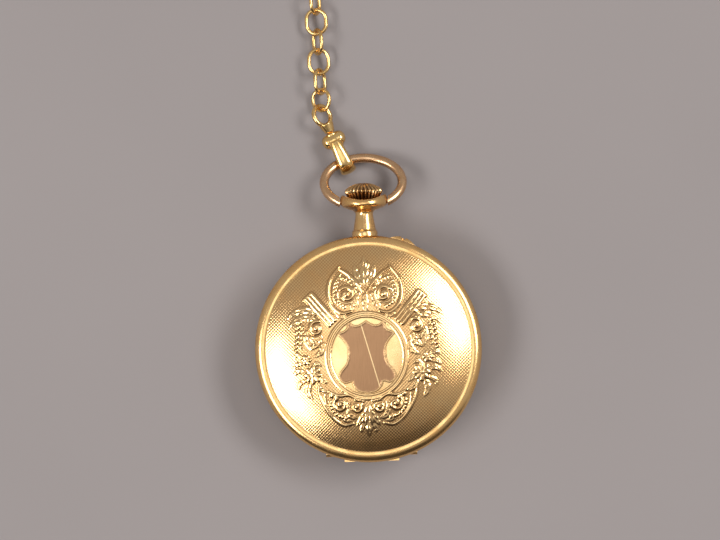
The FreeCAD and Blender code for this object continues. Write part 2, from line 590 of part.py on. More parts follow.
def screw(x, y, head_low, up_to, radius=0.85):
    """A cheese-head screw, head down, with its slot."""
    shank = rod(0.45, head_low, up_to)
    whole = shank.fuse(rod(radius, head_low, head_low + 0.45)).cut(
        Part.makeBox(2 * radius + 1, 0.22, 0.22, V(-radius - 0.5, -0.11, head_low)))
    return whole.removeSplitter().translated(V(x, y, 0))


heads = [screw(x, y, UNDER - 0.45, BOTTOM - 0.1) for x, y in screws_at[:4]]
heads.append(screw(*cock_foot, 3.3, BOTTOM - 0.1))
shaped("bridge_screws", Part.makeCompound(heads))
dogs = [screw(x, y, BOTTOM - 0.45, BOTTOM + 0.9, 1.1) for x, y in ((-17.0, -10.2), (4.8, -19.0))]
shaped("case_screws", Part.makeCompound(dogs))
jewels = [ring(0.62, 0.16, UNDER - 0.16, 0.2).translated(V(x, y, 0)) for x, y in (third, fourth, escape)]
jewels.append(ring(0.75, 0.16, UNDER - 0.16, 0.27))
jewels.append(ring(0.8, 0.2, 3.45, 0.14).translated(V(*balance, 0)))
shaped("jewels", Part.makeCompound(jewels))

# going train; the fourth wheel turns once a minute and the others are cut to follow it
shaped("barrel", fused(
    gear(80, 0.2125, 7.3, 7.7, bore=8.0), ring(8.2, 1.3, 6.45, 7.85), ring(8.0, 0.25, 7.45, 0.8)
).translated(V(*barrel_at, 0)))
shaped("barrel_cover", ring(7.83, 0.22, 6.46, 0.8).translated(V(*barrel_at, 0)))
arbor = fused(rod(1.6, 6.75, 7.4), rod(0.58, 4.9, BOTTOM + 0.6),
              rod(1.5, 4.56, 5.0).cut(Part.makeBox(4, 0.25, 0.25, V(-2, -0.12, 4.56))))
shaped("barrel_arbor", arbor.translated(V(*barrel_at, 0)))
coils, steps = 9, 14
turns = [2 * math.pi * k / steps for k in range(coils * steps + 1)]
spiral = [[V(r0 * math.cos(t), r0 * math.sin(t), 6.75) for t, r0 in ((t, 1.75 + gap + 5.85 * t / turns[-1])
                                                                     for t in turns)] for gap in (0, 0.22)]
sides = []
for line in spiral:
    one = Part.BSplineCurve()
    one.interpolate(line)
    sides.append(one.toShape())
strip = Part.Wire([sides[0], Part.makeLine(spiral[0][-1], spiral[1][-1]), sides[1],
                   Part.makeLine(spiral[1][0], spiral[0][0])])
shaped("mainspring", Part.Face(strip).extrude(V(0, 0, 0.62)).translated(V(*barrel_at, 0)))

centre_pinion = gear(10, 0.2125, 7.2, 7.82, meshing(barrel_at, centre, 10, 80, 0), full=0.7)
centre_wheel = fused(gear(80, 0.165, 5.9, 6.15, arms=5), centre_pinion, rod(0.6, 6.1, 7.3), rod(0.24, 4.85, 6),
                     rod(0.38, 7.7, PLATE - 0.92), rod(0.24, PLATE - 1, PLATE + 1.35))
shaped("centre_wheel", centre_wheel)
cannon_phase = 0.0
cannon = fused(gear(12, 0.2, PLATE - 0.85, PLATE - 0.6, cannon_phase, full=0.7), rod(0.55, PLATE - 0.85, PLATE + 1.3))
shaped("cannon_pinion", cannon.cut(rod(0.24, 0, 20)))
minute_phase = meshing(centre, minute_at, 36, 12, cannon_phase)
minute_wheel = fused(gear(36, 0.2, PLATE - 0.85, PLATE - 0.62, minute_phase),
                     gear(10, 0.192, PLATE - 0.64, PLATE - 0.15, 0.0, full=0.7))
shaped("minute_wheel", minute_wheel.cut(rod(0.34, 0, 20)).translated(V(*minute_at, 0)))
hour_wheel = fused(gear(40, 0.192, PLATE - 0.45, PLATE - 0.2, meshing(minute_at, centre, 40, 10, 0.0), bore=0.62),
                   rod(1.05, PLATE - 0.45, DIAL.value + 0.42))
shaped("hour_wheel", hour_wheel.cut(rod(0.62, 0, 20)))
third_wheel = fused(gear(75, 0.135, 7.3, 7.5, arms=4), rod(0.42, 6.1, 7.4), rod(0.2, 4.85, 6), rod(0.2, 7.4, BOTTOM + 0.8),
                    gear(10, 0.165, 5.85, 6.22, meshing(centre, third, 10, 80, 0), full=0.7))
shaped("third_wheel", third_wheel.translated(V(*third, 0)))
fourth_wheel = fused(gear(80, 0.115, 6.85, 7.03, arms=4), rod(0.2, 4.85, 6.9), rod(0.2, 7.5, DIAL.value + 0.3),
                     gear(10, 0.135, 6.95, 7.6, meshing(third, fourth, 10, 75, 0), full=0.7))
shaped("fourth_wheel", fourth_wheel.translated(V(*fourth, 0)))
claws = []
for k in range(15):
    t = 2 * math.pi * k / 15
    claws += [V(2.3 * math.cos(t - 0.2), 2.3 * math.sin(t - 0.2), 6.35), V(2.9 * math.cos(t - 0.03), 2.9 * math.sin(t - 0.03), 6.35),
              V(2.9 * math.cos(t + 0.03), 2.9 * math.sin(t + 0.03), 6.35), V(2.3 * math.cos(t + 0.02), 2.3 * math.sin(t + 0.02), 6.35)]
claw_wheel = Part.Face(Part.makePolygon(claws + claws[:1])).extrude(V(0, 0, 0.22))
windows = ring(2.0, 2, 5.5, 0.6).cut([Part.makeBox(5, 0.36, 4, V(-2.5, -0.18, 5)), Part.makeBox(0.36, 5, 4, V(-0.18, -2.5, 5))])
escape_wheel = fused(claw_wheel.cut(windows), rod(0.18, 4.85, BOTTOM + 0.8),
                     gear(8, 0.115, 6.5, 7.1, meshing(fourth, escape, 8, 80, 0), full=0.7))
shaped("escape_wheel", escape_wheel.translated(V(*escape, 0)))

# pallet fork and balance
to_balance = bearing(fork, balance)
lever = Part.makeBox(4.0, 0.5, 0.22, V(0, -0.25, 6.52)).cut(Part.makeBox(0.5, 0.3, 1, V(3.6, -0.15, 6.2)))
arms_of = Part.makeBox(0.55, 3.8, 0.22, V(-0.275, -1.9, 6.52))
stones = [Part.makeBox(0.75, 0.34, 0.22, V(-0.75, y, 6.52)) for y in (1.56, -1.9)]
anchor = fused(lever, arms_of, *stones, rod(0.14, 6.05, BOTTOM + 0.5), rod(0.3, 6.52, 6.9))
anchor.rotate(V(), Z, to_balance)
shaped("pallet_fork", anchor.translated(V(*fork, 0)))
r = S.balance_radius.value
rim = ring(r, 0.75, 5.1, r - 0.75)
bars = [Part.makeBox(2 * r - 0.8, 0.7, 0.3, V(-r + 0.4, -0.35, 5.3)), Part.makeBox(0.5, 2 * r - 0.8, 0.3, V(-0.25, -r + 0.4, 5.3))]
studs = [Part.makeCylinder(0.28, 0.4, V((r - 0.05) * math.cos(t), (r - 0.05) * math.sin(t), 5.47), V(math.cos(t), math.sin(t), 0))
         for t in (2 * math.pi * (k + 0.5) / 16 for k in range(16))]
wheel = fused(rim, *bars, *studs, rod(0.7, 5.0, 5.7), rod(0.25, 3.9, BOTTOM + 0.8), ring(1.25, 0.22, 6.2, 0))
shaped("balance_wheel", wheel.translated(V(*balance, 0)))
coils = 8
turns = [2 * math.pi * k / 14 for k in range(coils * 14 + 1)]
spiral = [[V(r0 * math.cos(t), r0 * math.sin(t), 4.62) for t, r0 in ((t, 0.75 + gap + 2.6 * t / turns[-1]) for t in turns)]
          for gap in (0, 0.08)]
sides = []
for line in spiral:
    one = Part.BSplineCurve()
    one.interpolate(line)
    sides.append(one.toShape())
strip = Part.Wire([sides[0], Part.makeLine(spiral[0][-1], spiral[1][-1]), sides[1],
                   Part.makeLine(spiral[1][0], spiral[0][0])])
collet = ring(0.8, 0.3, 4.6, 0.25)
shaped("hairspring", Part.Face(strip).extrude(V(0, 0, 0.25)).fuse(collet).translated(V(*balance, 0)))

# winding work on the outer side of the barrel bridge
crown_wheel = gear(44, 0.25, 5.02, 5.55, 0.0, bore=0.5)
shaped("crown_wheel", crown_wheel.translated(V(*crown_at, 0)))
shaped("crown_wheel_screw", screw(*crown_at, 4.55, BRIDGE + 0.5, 1.5))
ratchet_phase = meshing(crown_at, barrel_at, 56, 44, 0.0)
ratchet = gear(56, 0.25, 5.02, 5.55, ratchet_phase, bore=0.58)
shaped("ratchet_wheel", ratchet.translated(V(*barrel_at, 0)))
toe = bearing(click_at, barrel_at)
click = Part.makeBox(2.4, 0.7, 0.5, V(0, -0.35, 5.03)).fuse(rod(0.8, 5.03, 5.53))
click = click.cut(rod(0.36, 0, 9))
click.rotate(V(), Z, toe)
shaped("click", click.removeSplitter().translated(V(*click_at, 0)))

# hands; noon lies towards -X, a quarter turn back from the pendant


def hand(label, length, width, bore, low, point=0.12, tail=1.3):
    """A spade hand that points along -X."""
    high = low + S.hand_thickness.value
    blade = Part.Face(Part.makePolygon([V(tail, width * 0.4, low), V(-length * 0.62, width * 0.3, low), V(-length, point / 2, low),
                                        V(-length, -point / 2, low), V(-length * 0.62, -width * 0.3, low),
                                        V(tail, -width * 0.4, low), V(tail, width * 0.4, low)])).extrude(V(0, 0, high - low))
    boss = rod(bore + 0.55, low, high)
    spade = rod(width * 0.95, low, high).translated(V(-length * 0.66, 0, 0))
    return fused(blade, boss, spade).cut(rod(bore, 0, 20))


turn_by = {"hour_hand": 50.0, "minute_hand": 190.0, "seconds_hand": 250.0}
hour = hand("hour_hand", 11.2, 1.0, 1.05, DIAL.value + 0.24, tail=1.4)
minute = hand("minute_hand", 17.6, 0.75, 0.55, DIAL.value + 0.56)
seconds = hand("seconds_hand", 3.7, 0.2, 0.2, DIAL.value + 0.05, tail=1.2)
for label, form, spot in (("hour_hand", hour, centre), ("minute_hand", minute, centre), ("seconds_hand", seconds, fourth)):
    form.rotate(V(), Z, -turn_by[label])
    shaped(label, form.translated(V(*spot, 0)))

# ---------------------------------------------------------------- clip, chain and bar

# the clip is drawn along +Y from the bow's wire, then turned to its place
hook = (S.hook_x.value, S.hook_y.value, 2.5)
clip_turn = FreeCAD.Rotation(Z, S.hook_turn.value)
clip_at = at(*hook, clip_turn)
bore_r, wide = S.hook_inner.value, S.hook_width.value
block = Part.makeBox(wide, 7.6, 5.1, V(-wide / 2, -3.1, -2.42)).cut(
    Part.makeCylinder(bore_r, wide + 2, V(-wide / 2 - 1, 0, 0), X))
block = block.cut(Part.makeBox(wide + 2, 9, bore_r * 2, V(-wide / 2 - 1, 0, -bore_r)))
block = block.cut(Part.makeBox(wide + 2, 9, 3, V(-wide / 2 - 1, 0.85, -3.0)))
outline = Part.makeCylinder(2.75, wide + 2, V(-wide / 2 - 1, -0.3, 0), X).common(
    Part.makeBox(9, 3.2, 9, V(-4.5, -3.2, -4.5))).fuse(Part.makeBox(wide + 2, 9, 5.2, V(-wide / 2 - 1, -0.3, -2.45)))
block = block.common(outline)
rounder = Part.makeCylinder(wide / 2 + 0.1, 14, V(0, -5, 1.55), Y).fuse(Part.makeBox(wide + 1, 14, 4.0, V(-wide / 2 - 0.5, -5, -2.45)))
block = block.common(rounder)
bolster = Part.makeCylinder(1.6, 2.0, V(0, 4.4, 0.1), Y)
lobes = [Part.makeSphere(1.32, V(sx * 1.3, 5.4, 0.15), V(sx, 0, 0)) for sx in (1, -1)]
neck_up = Part.makeCone(1.5, 1.1, 0.8, V(0, 6.3, 0.1), Y)
clip_body = fused(block, bolster, *lobes, neck_up)
clip_body = clip_body.cut([Part.makeCylinder(0.58, 4, V(0, 5.6, 0.1), Y), Part.makeCylinder(0.95, 0.75, V(0, 5.5, 0.1), Y)])
slot = Part.makeBox(0.94, 3.4, 2.0, V(-0.47, 2.0, -2.3))
clip_body = clip_body.cut(slot)
shaped("clip_body", clip_body.removeSplitter(), clip_at)
gate = Part.makeBox(0.8, 3.75, 0.7, V(-0.4, 0.95, -2.15)).fuse(Part.makeCylinder(0.35, 0.8, V(-0.4, 4.7, -1.8), X))
shaped("clip_gate", gate.removeSplitter(), clip_at)

# the swivel eye: a stalk that turns in the bolster, a bell and a ring set over on its side
eye_r, eye_w = S.eye_radius.value, S.eye_wire.value
stalk = Part.makeCylinder(0.5, 2.2, V(0, 5.65, 0.1), Y).fuse(Part.makeCylinder(0.85, 0.5, V(0, 5.62, 0.1), Y))
bell = Part.makeCone(1.05, 1.65, 2.0, V(0, 7.2, 0.1), Y)
eye = Part.makeTorus(eye_r, eye_w, V(), Z)
eye.Placement = FreeCAD.Placement(V(0, 11.3, 0.1), FreeCAD.Rotation(Y, 42))
bell = bell.cut(Part.makeSphere(1.5, V(0, 11.0, 0.1)))
shaped("clip_eye", fused(stalk, bell, eye), clip_at)


def link(half_length, half_width, wire):
    """A closed oval of round wire along Y: two half turns and two straights, its middle at the origin."""
    straight = half_length - half_width
    r = half_width - wire / 2
    near = Part.makeTorus(r, wire / 2, V(), Z, 0, 360, 180)
    far = near.copy()
    far.rotate(V(), Z, 180)
    parts = [near.translated(V(0, straight, 0)), far.translated(V(0, -straight, 0))]
    for way in (1, -1):
        parts.append(Part.makeCylinder(wire / 2, 2 * straight, V(way * r, -straight, 0), Y))
    return parts[0].fuse(parts[1:]).removeSplitter()


wire, gap = S.link_wire.value, S.link_gap.value
drift = math.radians(1.75)
way_on = V(-math.sin(drift), math.cos(drift), 0)
lie = FreeCAD.Rotation(Z, math.degrees(drift))
eye_middle = clip_at.multVec(V(0, 11.3, 0))
inner_end = V(eye_middle.x, eye_middle.y, S.chain_z.value) + way_on * (eye_r - eye_w - wire / 2 - 2 * gap)
LINKS = 8
for k in range(LINKS):
    half_length = (S.link_width.value + 0.3) / 2 if k == 0 else S.link_length.value / 2
    form = link(half_length, S.link_width.value / 2, wire)
    roll = FreeCAD.Rotation(Y, (-34, 62, 8, -66, -8, 66, 8, -66)[k])
    spot = inner_end + way_on * (half_length - wire / 2)
    shaped(f"chain_link_{k + 1:02d}", form, FreeCAD.Placement(spot, lie.multiply(roll)))
    inner_end = spot + way_on * (half_length - wire / 2 - wire - gap)

# the bar at the far end, with the eye it hangs by
bar_eye = Part.makeTorus(1.35, 0.42, V(), Z)
half = S.bar_length.value / 2
thick = S.bar_radius.value
rod_of_bar = Part.makeCylinder(thick * 0.62, 2 * half - 2, V(-half + 1, 2.6, -0.9), X)
ends_of_bar = [Part.makeSphere(thick, V(sx * (half - 1), 2.6, -0.9)) for sx in (1, -1)]
collar = Part.makeCylinder(thick * 0.85, 2.4, V(-1.2, 2.6, -0.9), X)
t_bar = fused(bar_eye, rod_of_bar, collar, *ends_of_bar)
bar_spot = inner_end + way_on * 1.35
shaped("t_bar", t_bar, FreeCAD.Placement(bar_spot, lie))


# ---------------------------------------------------------------- check and write

doc.recompute()
bad = []
for obj in doc.Objects:
    if "Invalid" in obj.State or "Error" in obj.State:
        bad.append(f"{obj.Name}: {obj.State}")
for label, obj in PIECES.items():
    if obj.Shape.isNull() or not obj.Shape.isValid():
        bad.append(f"{label}: shape is not valid")
if bad:
    raise SystemExit("not written: " + "; ".join(bad))
os.makedirs("parts", exist_ok=True)
for label, obj in PIECES.items():
    obj.Shape.exportStep(f"parts/{label}.step")
    box_of = obj.Shape.BoundBox
    print(f"{label:18} solids {len(obj.Shape.Solids)} volume {obj.Shape.Volume:9.3f} "
          f"z {box_of.ZMin:6.2f}..{box_of.ZMax:6.2f} y {box_of.YMin:6.2f}..{box_of.YMax:6.2f}")
print(len(PIECES), "pieces")
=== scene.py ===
# %% [markdown]
# # A hunter-cased pocket watch with its chain
# The watch lies on its back with the engraved lid up. The CAD model is the frame: it says where every part is
# and how it moves, and each surface made here sits on it. The work goes from stage to finishes, then to the
# pieces, the largest first: lid, case, pendant and bow, chain, then the dial and the movement that show when
# the lid stands open.

# %% Load the frame
import json
import math

import bmesh
import bpy
import numpy as np
from mathutils import Matrix, Vector


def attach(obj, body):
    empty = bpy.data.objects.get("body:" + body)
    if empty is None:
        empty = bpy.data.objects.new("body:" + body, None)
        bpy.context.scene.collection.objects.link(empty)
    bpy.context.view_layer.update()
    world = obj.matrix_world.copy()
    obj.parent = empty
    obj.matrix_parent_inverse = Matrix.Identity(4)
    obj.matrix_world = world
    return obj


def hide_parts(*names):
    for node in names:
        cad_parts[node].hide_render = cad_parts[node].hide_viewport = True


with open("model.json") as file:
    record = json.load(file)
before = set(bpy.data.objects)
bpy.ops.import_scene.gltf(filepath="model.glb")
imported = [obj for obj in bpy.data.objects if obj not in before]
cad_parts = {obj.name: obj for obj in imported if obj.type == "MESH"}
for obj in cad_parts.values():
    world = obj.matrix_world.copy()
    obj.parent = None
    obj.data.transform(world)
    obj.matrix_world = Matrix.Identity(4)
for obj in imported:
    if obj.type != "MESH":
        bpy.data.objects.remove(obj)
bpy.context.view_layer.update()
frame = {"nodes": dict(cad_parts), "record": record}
nodes, bodies = frame["nodes"], frame["record"]["behaviour"]["bodies"]
MM = 0.001                                         # sizes below are in millimetres, Blender's unit is the metre
home = {n: body for body, names in bodies.items() for n in names}

# %% [markdown]
# ## Camera, table and lamps
# A small polished thing is lit by large soft sheets of light, because metal shows nothing but reflections. Two
# long softboxes, one on each side at the same height, lay two bright crescents on the shoulders of the lid; a
# weaker sheet overhead fills the middle. The room is dark on the near side, so the lid goes dark brown there.
# The camera looks straight down with a long lens, which keeps the round case round.

# %% Camera
scene = bpy.context.scene
eye = bpy.data.cameras.new("eye")
eye.lens, eye.sensor_width = 158.0, 36.0
eye.clip_end = 20
camera = bpy.data.objects.new("camera", eye)
camera.location = Vector((-1.32, 17.45, 708.0)) * MM
camera.rotation_euler = (0, 0, math.radians(-1.8))
scene.collection.objects.link(camera)
scene.camera = camera
print("camera", round(camera.location.z, 3), "m above the table, lens", eye.lens)


# %% Helpers for node trees
def new_material(name, **values):
    """A fresh material with its Principled shader set from values, named as in the shader's own sockets."""
    m = bpy.data.materials.new(name)
    m.use_nodes = True
    shader = m.node_tree.nodes["Principled BSDF"]
    for key, value in values.items():
        shader.inputs[key.replace("_", " ")].default_value = value
    return m, m.node_tree, shader


def put(tree, kind, **settings):
    """Adds a node; a setting that isn't one of its fields is a value for the socket of that name or number."""
    node = tree.nodes.new(kind)
    for key, value in settings.items():
        if hasattr(node, key):
            setattr(node, key, value)
    for key, value in settings.items():
        if not hasattr(node, key):
            numbered = key[0] == "i" and key[1:].isdigit()
            socket = node.inputs[int(key[1:]) if numbered else key.replace("_", " ")]
            if isinstance(value, bpy.types.NodeSocket):
                tree.links.new(value, socket)
            else:
                socket.default_value = value
    return node


def math_node(tree, operation, a, b=0.0, clamp=False):
    """The outcome of one sum."""
    return put(tree, "ShaderNodeMath", operation=operation, use_clamp=clamp, i0=a, i1=b).outputs[0]


def ramp(tree, value, low, high, start=0.0, end=1.0):
    """Takes a value from low..high to start..end and holds it there at both ends."""
    node = put(tree, "ShaderNodeMapRange", Value=value, From_Min=low, From_Max=high, To_Min=start, To_Max=end)
    return node.outputs[0]


def blend_colour(tree, amount, below, above):
    """The colour above laid over the one below by amount."""
    return put(tree, "ShaderNodeMix", data_type="RGBA", i0=amount, i6=below, i7=above).outputs[2]


def object_mm(tree):
    """Object coordinates in millimetres."""
    where = put(tree, "ShaderNodeTexCoord")
    return put(tree, "ShaderNodeVectorMath", operation="SCALE", i0=where.outputs["Object"], Scale=1 / MM).outputs[0]


def clouded(tree, shader, scale, detail, low, high):
    """Gives a shader a base colour that drifts between two tones."""
    where = put(tree, "ShaderNodeTexCoord")
    cloud = put(tree, "ShaderNodeTexNoise", Vector=where.outputs["Object"], Scale=scale, Detail=detail)
    tree.links.new(blend_colour(tree, cloud.outputs["Fac"], low, high), shader.inputs["Base Color"])


# %% Table
HALF_TABLE, TABLE_TOP = 3.0, -0.00002              # metres; the top lies a hair under the case
corners = [(x * HALF_TABLE, y * HALF_TABLE, TABLE_TOP) for x, y in ((-1, -1), (1, -1), (1, 1), (-1, 1))]
floor_mesh = bpy.data.meshes.new("table")
floor_mesh.from_pydata(corners, [], [(0, 1, 2, 3)])
table = bpy.data.objects.new("table", floor_mesh)
scene.collection.objects.link(table)
paper, tree, shader = new_material("grey_card", Roughness=0.9)
clouded(tree, shader, 9.0, 3.0, (0.262, 0.238, 0.238, 1), (0.300, 0.273, 0.273, 1))
floor_mesh.materials.append(paper)
print("table laid")


# %% Lamps
def softbox(name, azimuth, zenith, distance, width, height, power, colour=(1, 1, 1)):
    """A soft sheet of light that faces the lid, azimuth degrees round from +X and zenith degrees off the vertical."""
    data = bpy.data.lights.new(name, "AREA")
    data.shape, data.size, data.size_y = "RECTANGLE", width, height
    data.energy, data.color = power, colour
    lamp = bpy.data.objects.new(name, data)
    a, z = math.radians(azimuth), math.radians(zenith)
    lamp.location = Vector((math.cos(a) * math.sin(z), math.sin(a) * math.sin(z), math.cos(z))) * distance
    lamp.rotation_euler = (-lamp.location).to_track_quat("-Z", "Y").to_euler()
    lamp.visible_camera = False
    scene.collection.objects.link(lamp)


WARM_WHITE = (1.0, 0.985, 0.96)
softbox("left_box", 202, 41, 1.0, 0.62, 0.28, 5.6, WARM_WHITE)
softbox("right_box", 22, 41, 1.0, 0.60, 0.28, 5.6, WARM_WHITE)
softbox("overhead", 150, 4, 1.1, 0.54, 0.46, 1.05)
world = bpy.data.worlds.new("studio")
scene.world = world
world.use_nodes = True
tree = world.node_tree
sky = tree.nodes["Background"]
way = put(tree, "ShaderNodeTexCoord")
axes = put(tree, "ShaderNodeSeparateXYZ", Vector=way.outputs["Generated"])
away = ramp(tree, axes.outputs["Y"], -0.62, -0.46)
room = blend_colour(tree, away, (0.12, 0.10, 0.09, 1), (0.82, 0.77, 0.74, 1))
tree.links.new(room, sky.inputs["Color"])
sky.inputs["Strength"].default_value = 0.52
scene.view_settings.view_transform = "Standard"

# %% [markdown]
# ## Finishes
# Old gold is never one colour. Handling rubs it bright on the crests and leaves it warm and dull between them,
# and fine scratches run every way. That is one effect for several metals, so it is a node group: each metal
# gives it its own two colours and gets back a colour, a roughness and a height for the scratches.

# %% Group: handled metal
handled = bpy.data.node_groups.new("handled_metal", "ShaderNodeTree")
for label, kind, value in (("Bright", "NodeSocketColor", (1, .8, .5, 1)), ("Dull", "NodeSocketColor", (.6, .4, .2, 1)),
                           ("Smooth", "NodeSocketFloat", .12), ("Rough", "NodeSocketFloat", .3),
                           ("Patch Size", "NodeSocketFloat", 4.0)):
    handled.interface.new_socket(label, in_out="INPUT", socket_type=kind).default_value = value
for label, kind in (("Colour", "NodeSocketColor"), ("Roughness", "NodeSocketFloat"), ("Height", "NodeSocketFloat")):
    handled.interface.new_socket(label, in_out="OUTPUT", socket_type=kind)
g_in, g_out = handled.nodes.new("NodeGroupInput"), handled.nodes.new("NodeGroupOutput")
mm = object_mm(handled)
inverse = math_node(handled, "DIVIDE", 1.0, g_in.outputs["Patch Size"])
patches = put(handled, "ShaderNodeTexNoise", Vector=mm, Scale=inverse, Detail=5.0, Roughness=0.6)
speck = put(handled, "ShaderNodeTexNoise", Vector=mm, Scale=3.2, Detail=6.0, Roughness=0.75)
mixed = math_node(handled, "ADD", math_node(handled, "MULTIPLY", patches.outputs["Fac"], 0.7),
                  math_node(handled, "MULTIPLY", speck.outputs["Fac"], 0.3))
rub = ramp(handled, mixed, 0.36, 0.64)
tint = blend_colour(handled, rub, g_in.outputs["Dull"], g_in.outputs["Bright"])
gloss = put(handled, "ShaderNodeMix", data_type="FLOAT", i0=rub, i2=g_in.outputs["Rough"],
            i3=g_in.outputs["Smooth"])
lines = []                                         # two sets of fine scratches, each running its own way
for turn, fine in ((0.5, 1.9), (2.3, 2.6)):
    spun = put(handled, "ShaderNodeVectorRotate", Vector=mm, Angle=turn, Axis=(0.2, 0.1, 1.0))
    long = put(handled, "ShaderNodeVectorMath", operation="MULTIPLY", i0=spun.outputs[0], i1=(fine * 3, 0.22, 1.2))
    hair = put(handled, "ShaderNodeTexNoise", Vector=long.outputs[0], Scale=1.0, Detail=2.0)
    lines.append(ramp(handled, hair.outputs["Fac"], 0.60, 0.72))
scratch = math_node(handled, "MAXIMUM", *lines)
handled.links.new(tint, g_out.inputs["Colour"])
handled.links.new(gloss.outputs[0], g_out.inputs["Roughness"])
handled.links.new(math_node(handled, "SUBTRACT", math_node(handled, "MULTIPLY", speck.outputs["Fac"], 0.5), scratch),
                  g_out.inputs["Height"])
print("group", handled.name, "with", len(handled.nodes), "nodes")


# %% Metals that use it
def metal(name, bright, dull, smooth, rough, patch=4.0, bump=0.02):
    """A metal with handled patches; bump is the strength of its scratches."""
    m, tree, shader = new_material(name, Metallic=1.0)
    group = put(tree, "ShaderNodeGroup", node_tree=handled, Bright=bright + (1,), Dull=dull + (1,), Smooth=smooth,
                Rough=rough, Patch_Size=patch)
    tree.links.new(group.outputs["Colour"], shader.inputs["Base Color"])
    tree.links.new(group.outputs["Roughness"], shader.inputs["Roughness"])
    bumped = put(tree, "ShaderNodeBump", Height=group.outputs["Height"], Strength=bump, Distance=0.0001)
    tree.links.new(bumped.outputs[0], shader.inputs["Normal"])
    return m


polished_gold = metal("polished_gold", (0.93, 0.63, 0.28), (0.82, 0.48, 0.18), 0.18, 0.30)
crown_gold = metal("crown_gold", (0.80, 0.54, 0.26), (0.55, 0.32, 0.13), 0.16, 0.30, 1.2, 0.04)
rose_brass = metal("rose_brass", (0.78, 0.52, 0.30), (0.60, 0.35, 0.18), 0.20, 0.36, 2.5, 0.05)
chain_metal = metal("chain_gold", (0.95, 0.68, 0.30), (0.76, 0.46, 0.15), 0.14, 0.28, 1.6, 0.03)
grey_steel = metal("grey_steel", (0.62, 0.61, 0.60), (0.45, 0.44, 0.43), 0.16, 0.32, 2.0)
blue_steel = metal("blue_steel", (0.035, 0.07, 0.30), (0.02, 0.035, 0.16), 0.14, 0.26, 1.5)
brass_wheels = metal("brass_wheels", (0.86, 0.66, 0.34), (0.72, 0.50, 0.22), 0.20, 0.34, 3.0)
print("metals that share the group:", handled.users)

# %% [markdown]
# ### Gilt bridges, enamel, glass and ruby
# Gilt bridges are grained with parallel stripes by a wheel. Enamel is glass fused on copper: nearly white, very
# even, with a clear coat. The crystal and the jewels are clear, so they keep a plain transmission.

# %% Gilt, enamel, glass, ruby
gilt = metal("gilt", (0.90, 0.70, 0.38), (0.80, 0.57, 0.27), 0.24, 0.38, 5.0)
tree = gilt.node_tree
where = put(tree, "ShaderNodeTexCoord")
stripe = put(tree, "ShaderNodeTexWave", bands_direction="DIAGONAL", Vector=where.outputs["Object"], Scale=190.0,
             Distortion=0.0)
normal = tree.nodes["Principled BSDF"].inputs["Normal"]
scratched = normal.links[0].from_socket
banded = put(tree, "ShaderNodeBump", Height=stripe.outputs["Fac"], Strength=0.12, Distance=0.0002, Normal=scratched)
tree.links.new(banded.outputs[0], normal)

enamel, tree, shader = new_material("enamel", Roughness=0.22, Coat_Weight=0.6, Coat_Roughness=0.04)
clouded(tree, shader, 420.0, 4.0, (0.80, 0.775, 0.72, 1), (0.88, 0.865, 0.82, 1))
dial_ink, tree, shader = new_material("dial_ink", Roughness=0.35)
clouded(tree, shader, 900.0, 3.0, (0.008, 0.008, 0.010, 1), (0.025, 0.022, 0.022, 1))


def clear(name, low, high, scale, **values):
    """A clear material with a faint variation of its colour."""
    m, tree, shader = new_material(name, Transmission_Weight=1.0, Metallic=0.0, **values)
    clouded(tree, shader, scale, 2.0, low, high)
    return m


crystal_glass = clear("crystal_glass", (0.97, 0.98, 0.98, 1), (1, 1, 1, 1), 120.0, Roughness=0.01, IOR=1.5)
ruby_red = clear("ruby_red", (0.60, 0.03, 0.08, 1), (0.78, 0.06, 0.14, 1), 900.0, Roughness=0.05, IOR=1.76)
print("finishes:", handled.users, "metals, enamel, ink, glass and ruby")

# %% [markdown]
# ## The engraved lid
# The ground of the lid is engine turned: a lathe cuts a lattice of tiny dots. On it a chaser has raised an oval
# ring with a shield, and round it scrolls, leaves, flowers and strings of pearls. The lattice is far finer than
# the ornament, so it is bump in the material, with painted shade in its cut dots. The ornament is real relief: a
# grid is laid over the dome and every stroke of the chaser lifts it. Each kind of stroke is one small function of
# the distance to a line, and all are cut on one half and mirrored, as the pattern on the lid is.


# %% The lid's outline and its grid
CAP_EDGE, LID_EDGE = 12, 22.6                      # the flatter cap ends at the first, the dome at the second


def lid_height(r):
    """Height of the lid's outside in millimetres at the distance r from its middle: two arcs of a circle."""
    cap = -134.64 + np.sqrt(150.24 ** 2 - np.minimum(r, CAP_EDGE) ** 2)
    flank = -27.2432 + np.sqrt(42.7559 ** 2 - (np.minimum(np.maximum(r, CAP_EDGE), LID_EDGE) - 6.2185) ** 2)
    return np.where(r <= CAP_EDGE, cap, flank)


COUNT, EDGE = 290, 22.62                           # points along the grid and its radius
line = np.linspace(-1, 1, COUNT)
u, v = np.meshgrid(line, line)
GX = EDGE * u * np.sqrt(1 - v * v / 2)
GY = EDGE * v * np.sqrt(1 - u * u / 2)
CX = GX + 0.4                                      # the ornament sits a little to -X of the middle
AX = np.abs(CX)                                    # one half is cut, the other mirrors it
relief = np.zeros_like(GX)
print("grid", GX.shape, "middle spacing", round(EDGE * 2 / COUNT, 3), "mm")


# %% Strokes of the chaser
def smooth_path(points, closed=False, steps=9):
    """A smooth line through the points."""
    p = np.array(points, float)
    p = np.vstack([p[-1], p, p[:2]]) if closed else np.vstack([2 * p[0] - p[1], p, 2 * p[-1] - p[-2]])
    t = np.linspace(0, 1, steps, endpoint=False)[:, None]
    out = [0.5 * (2 * b + (c - a) * t + (2 * a - 5 * b + 4 * c - d) * t ** 2 + (3 * b - a - 3 * c + d) * t ** 3)
           for a, b, c, d in zip(p, p[1:], p[2:], p[3:])]
    return np.vstack(out + [p[-2:-1]])


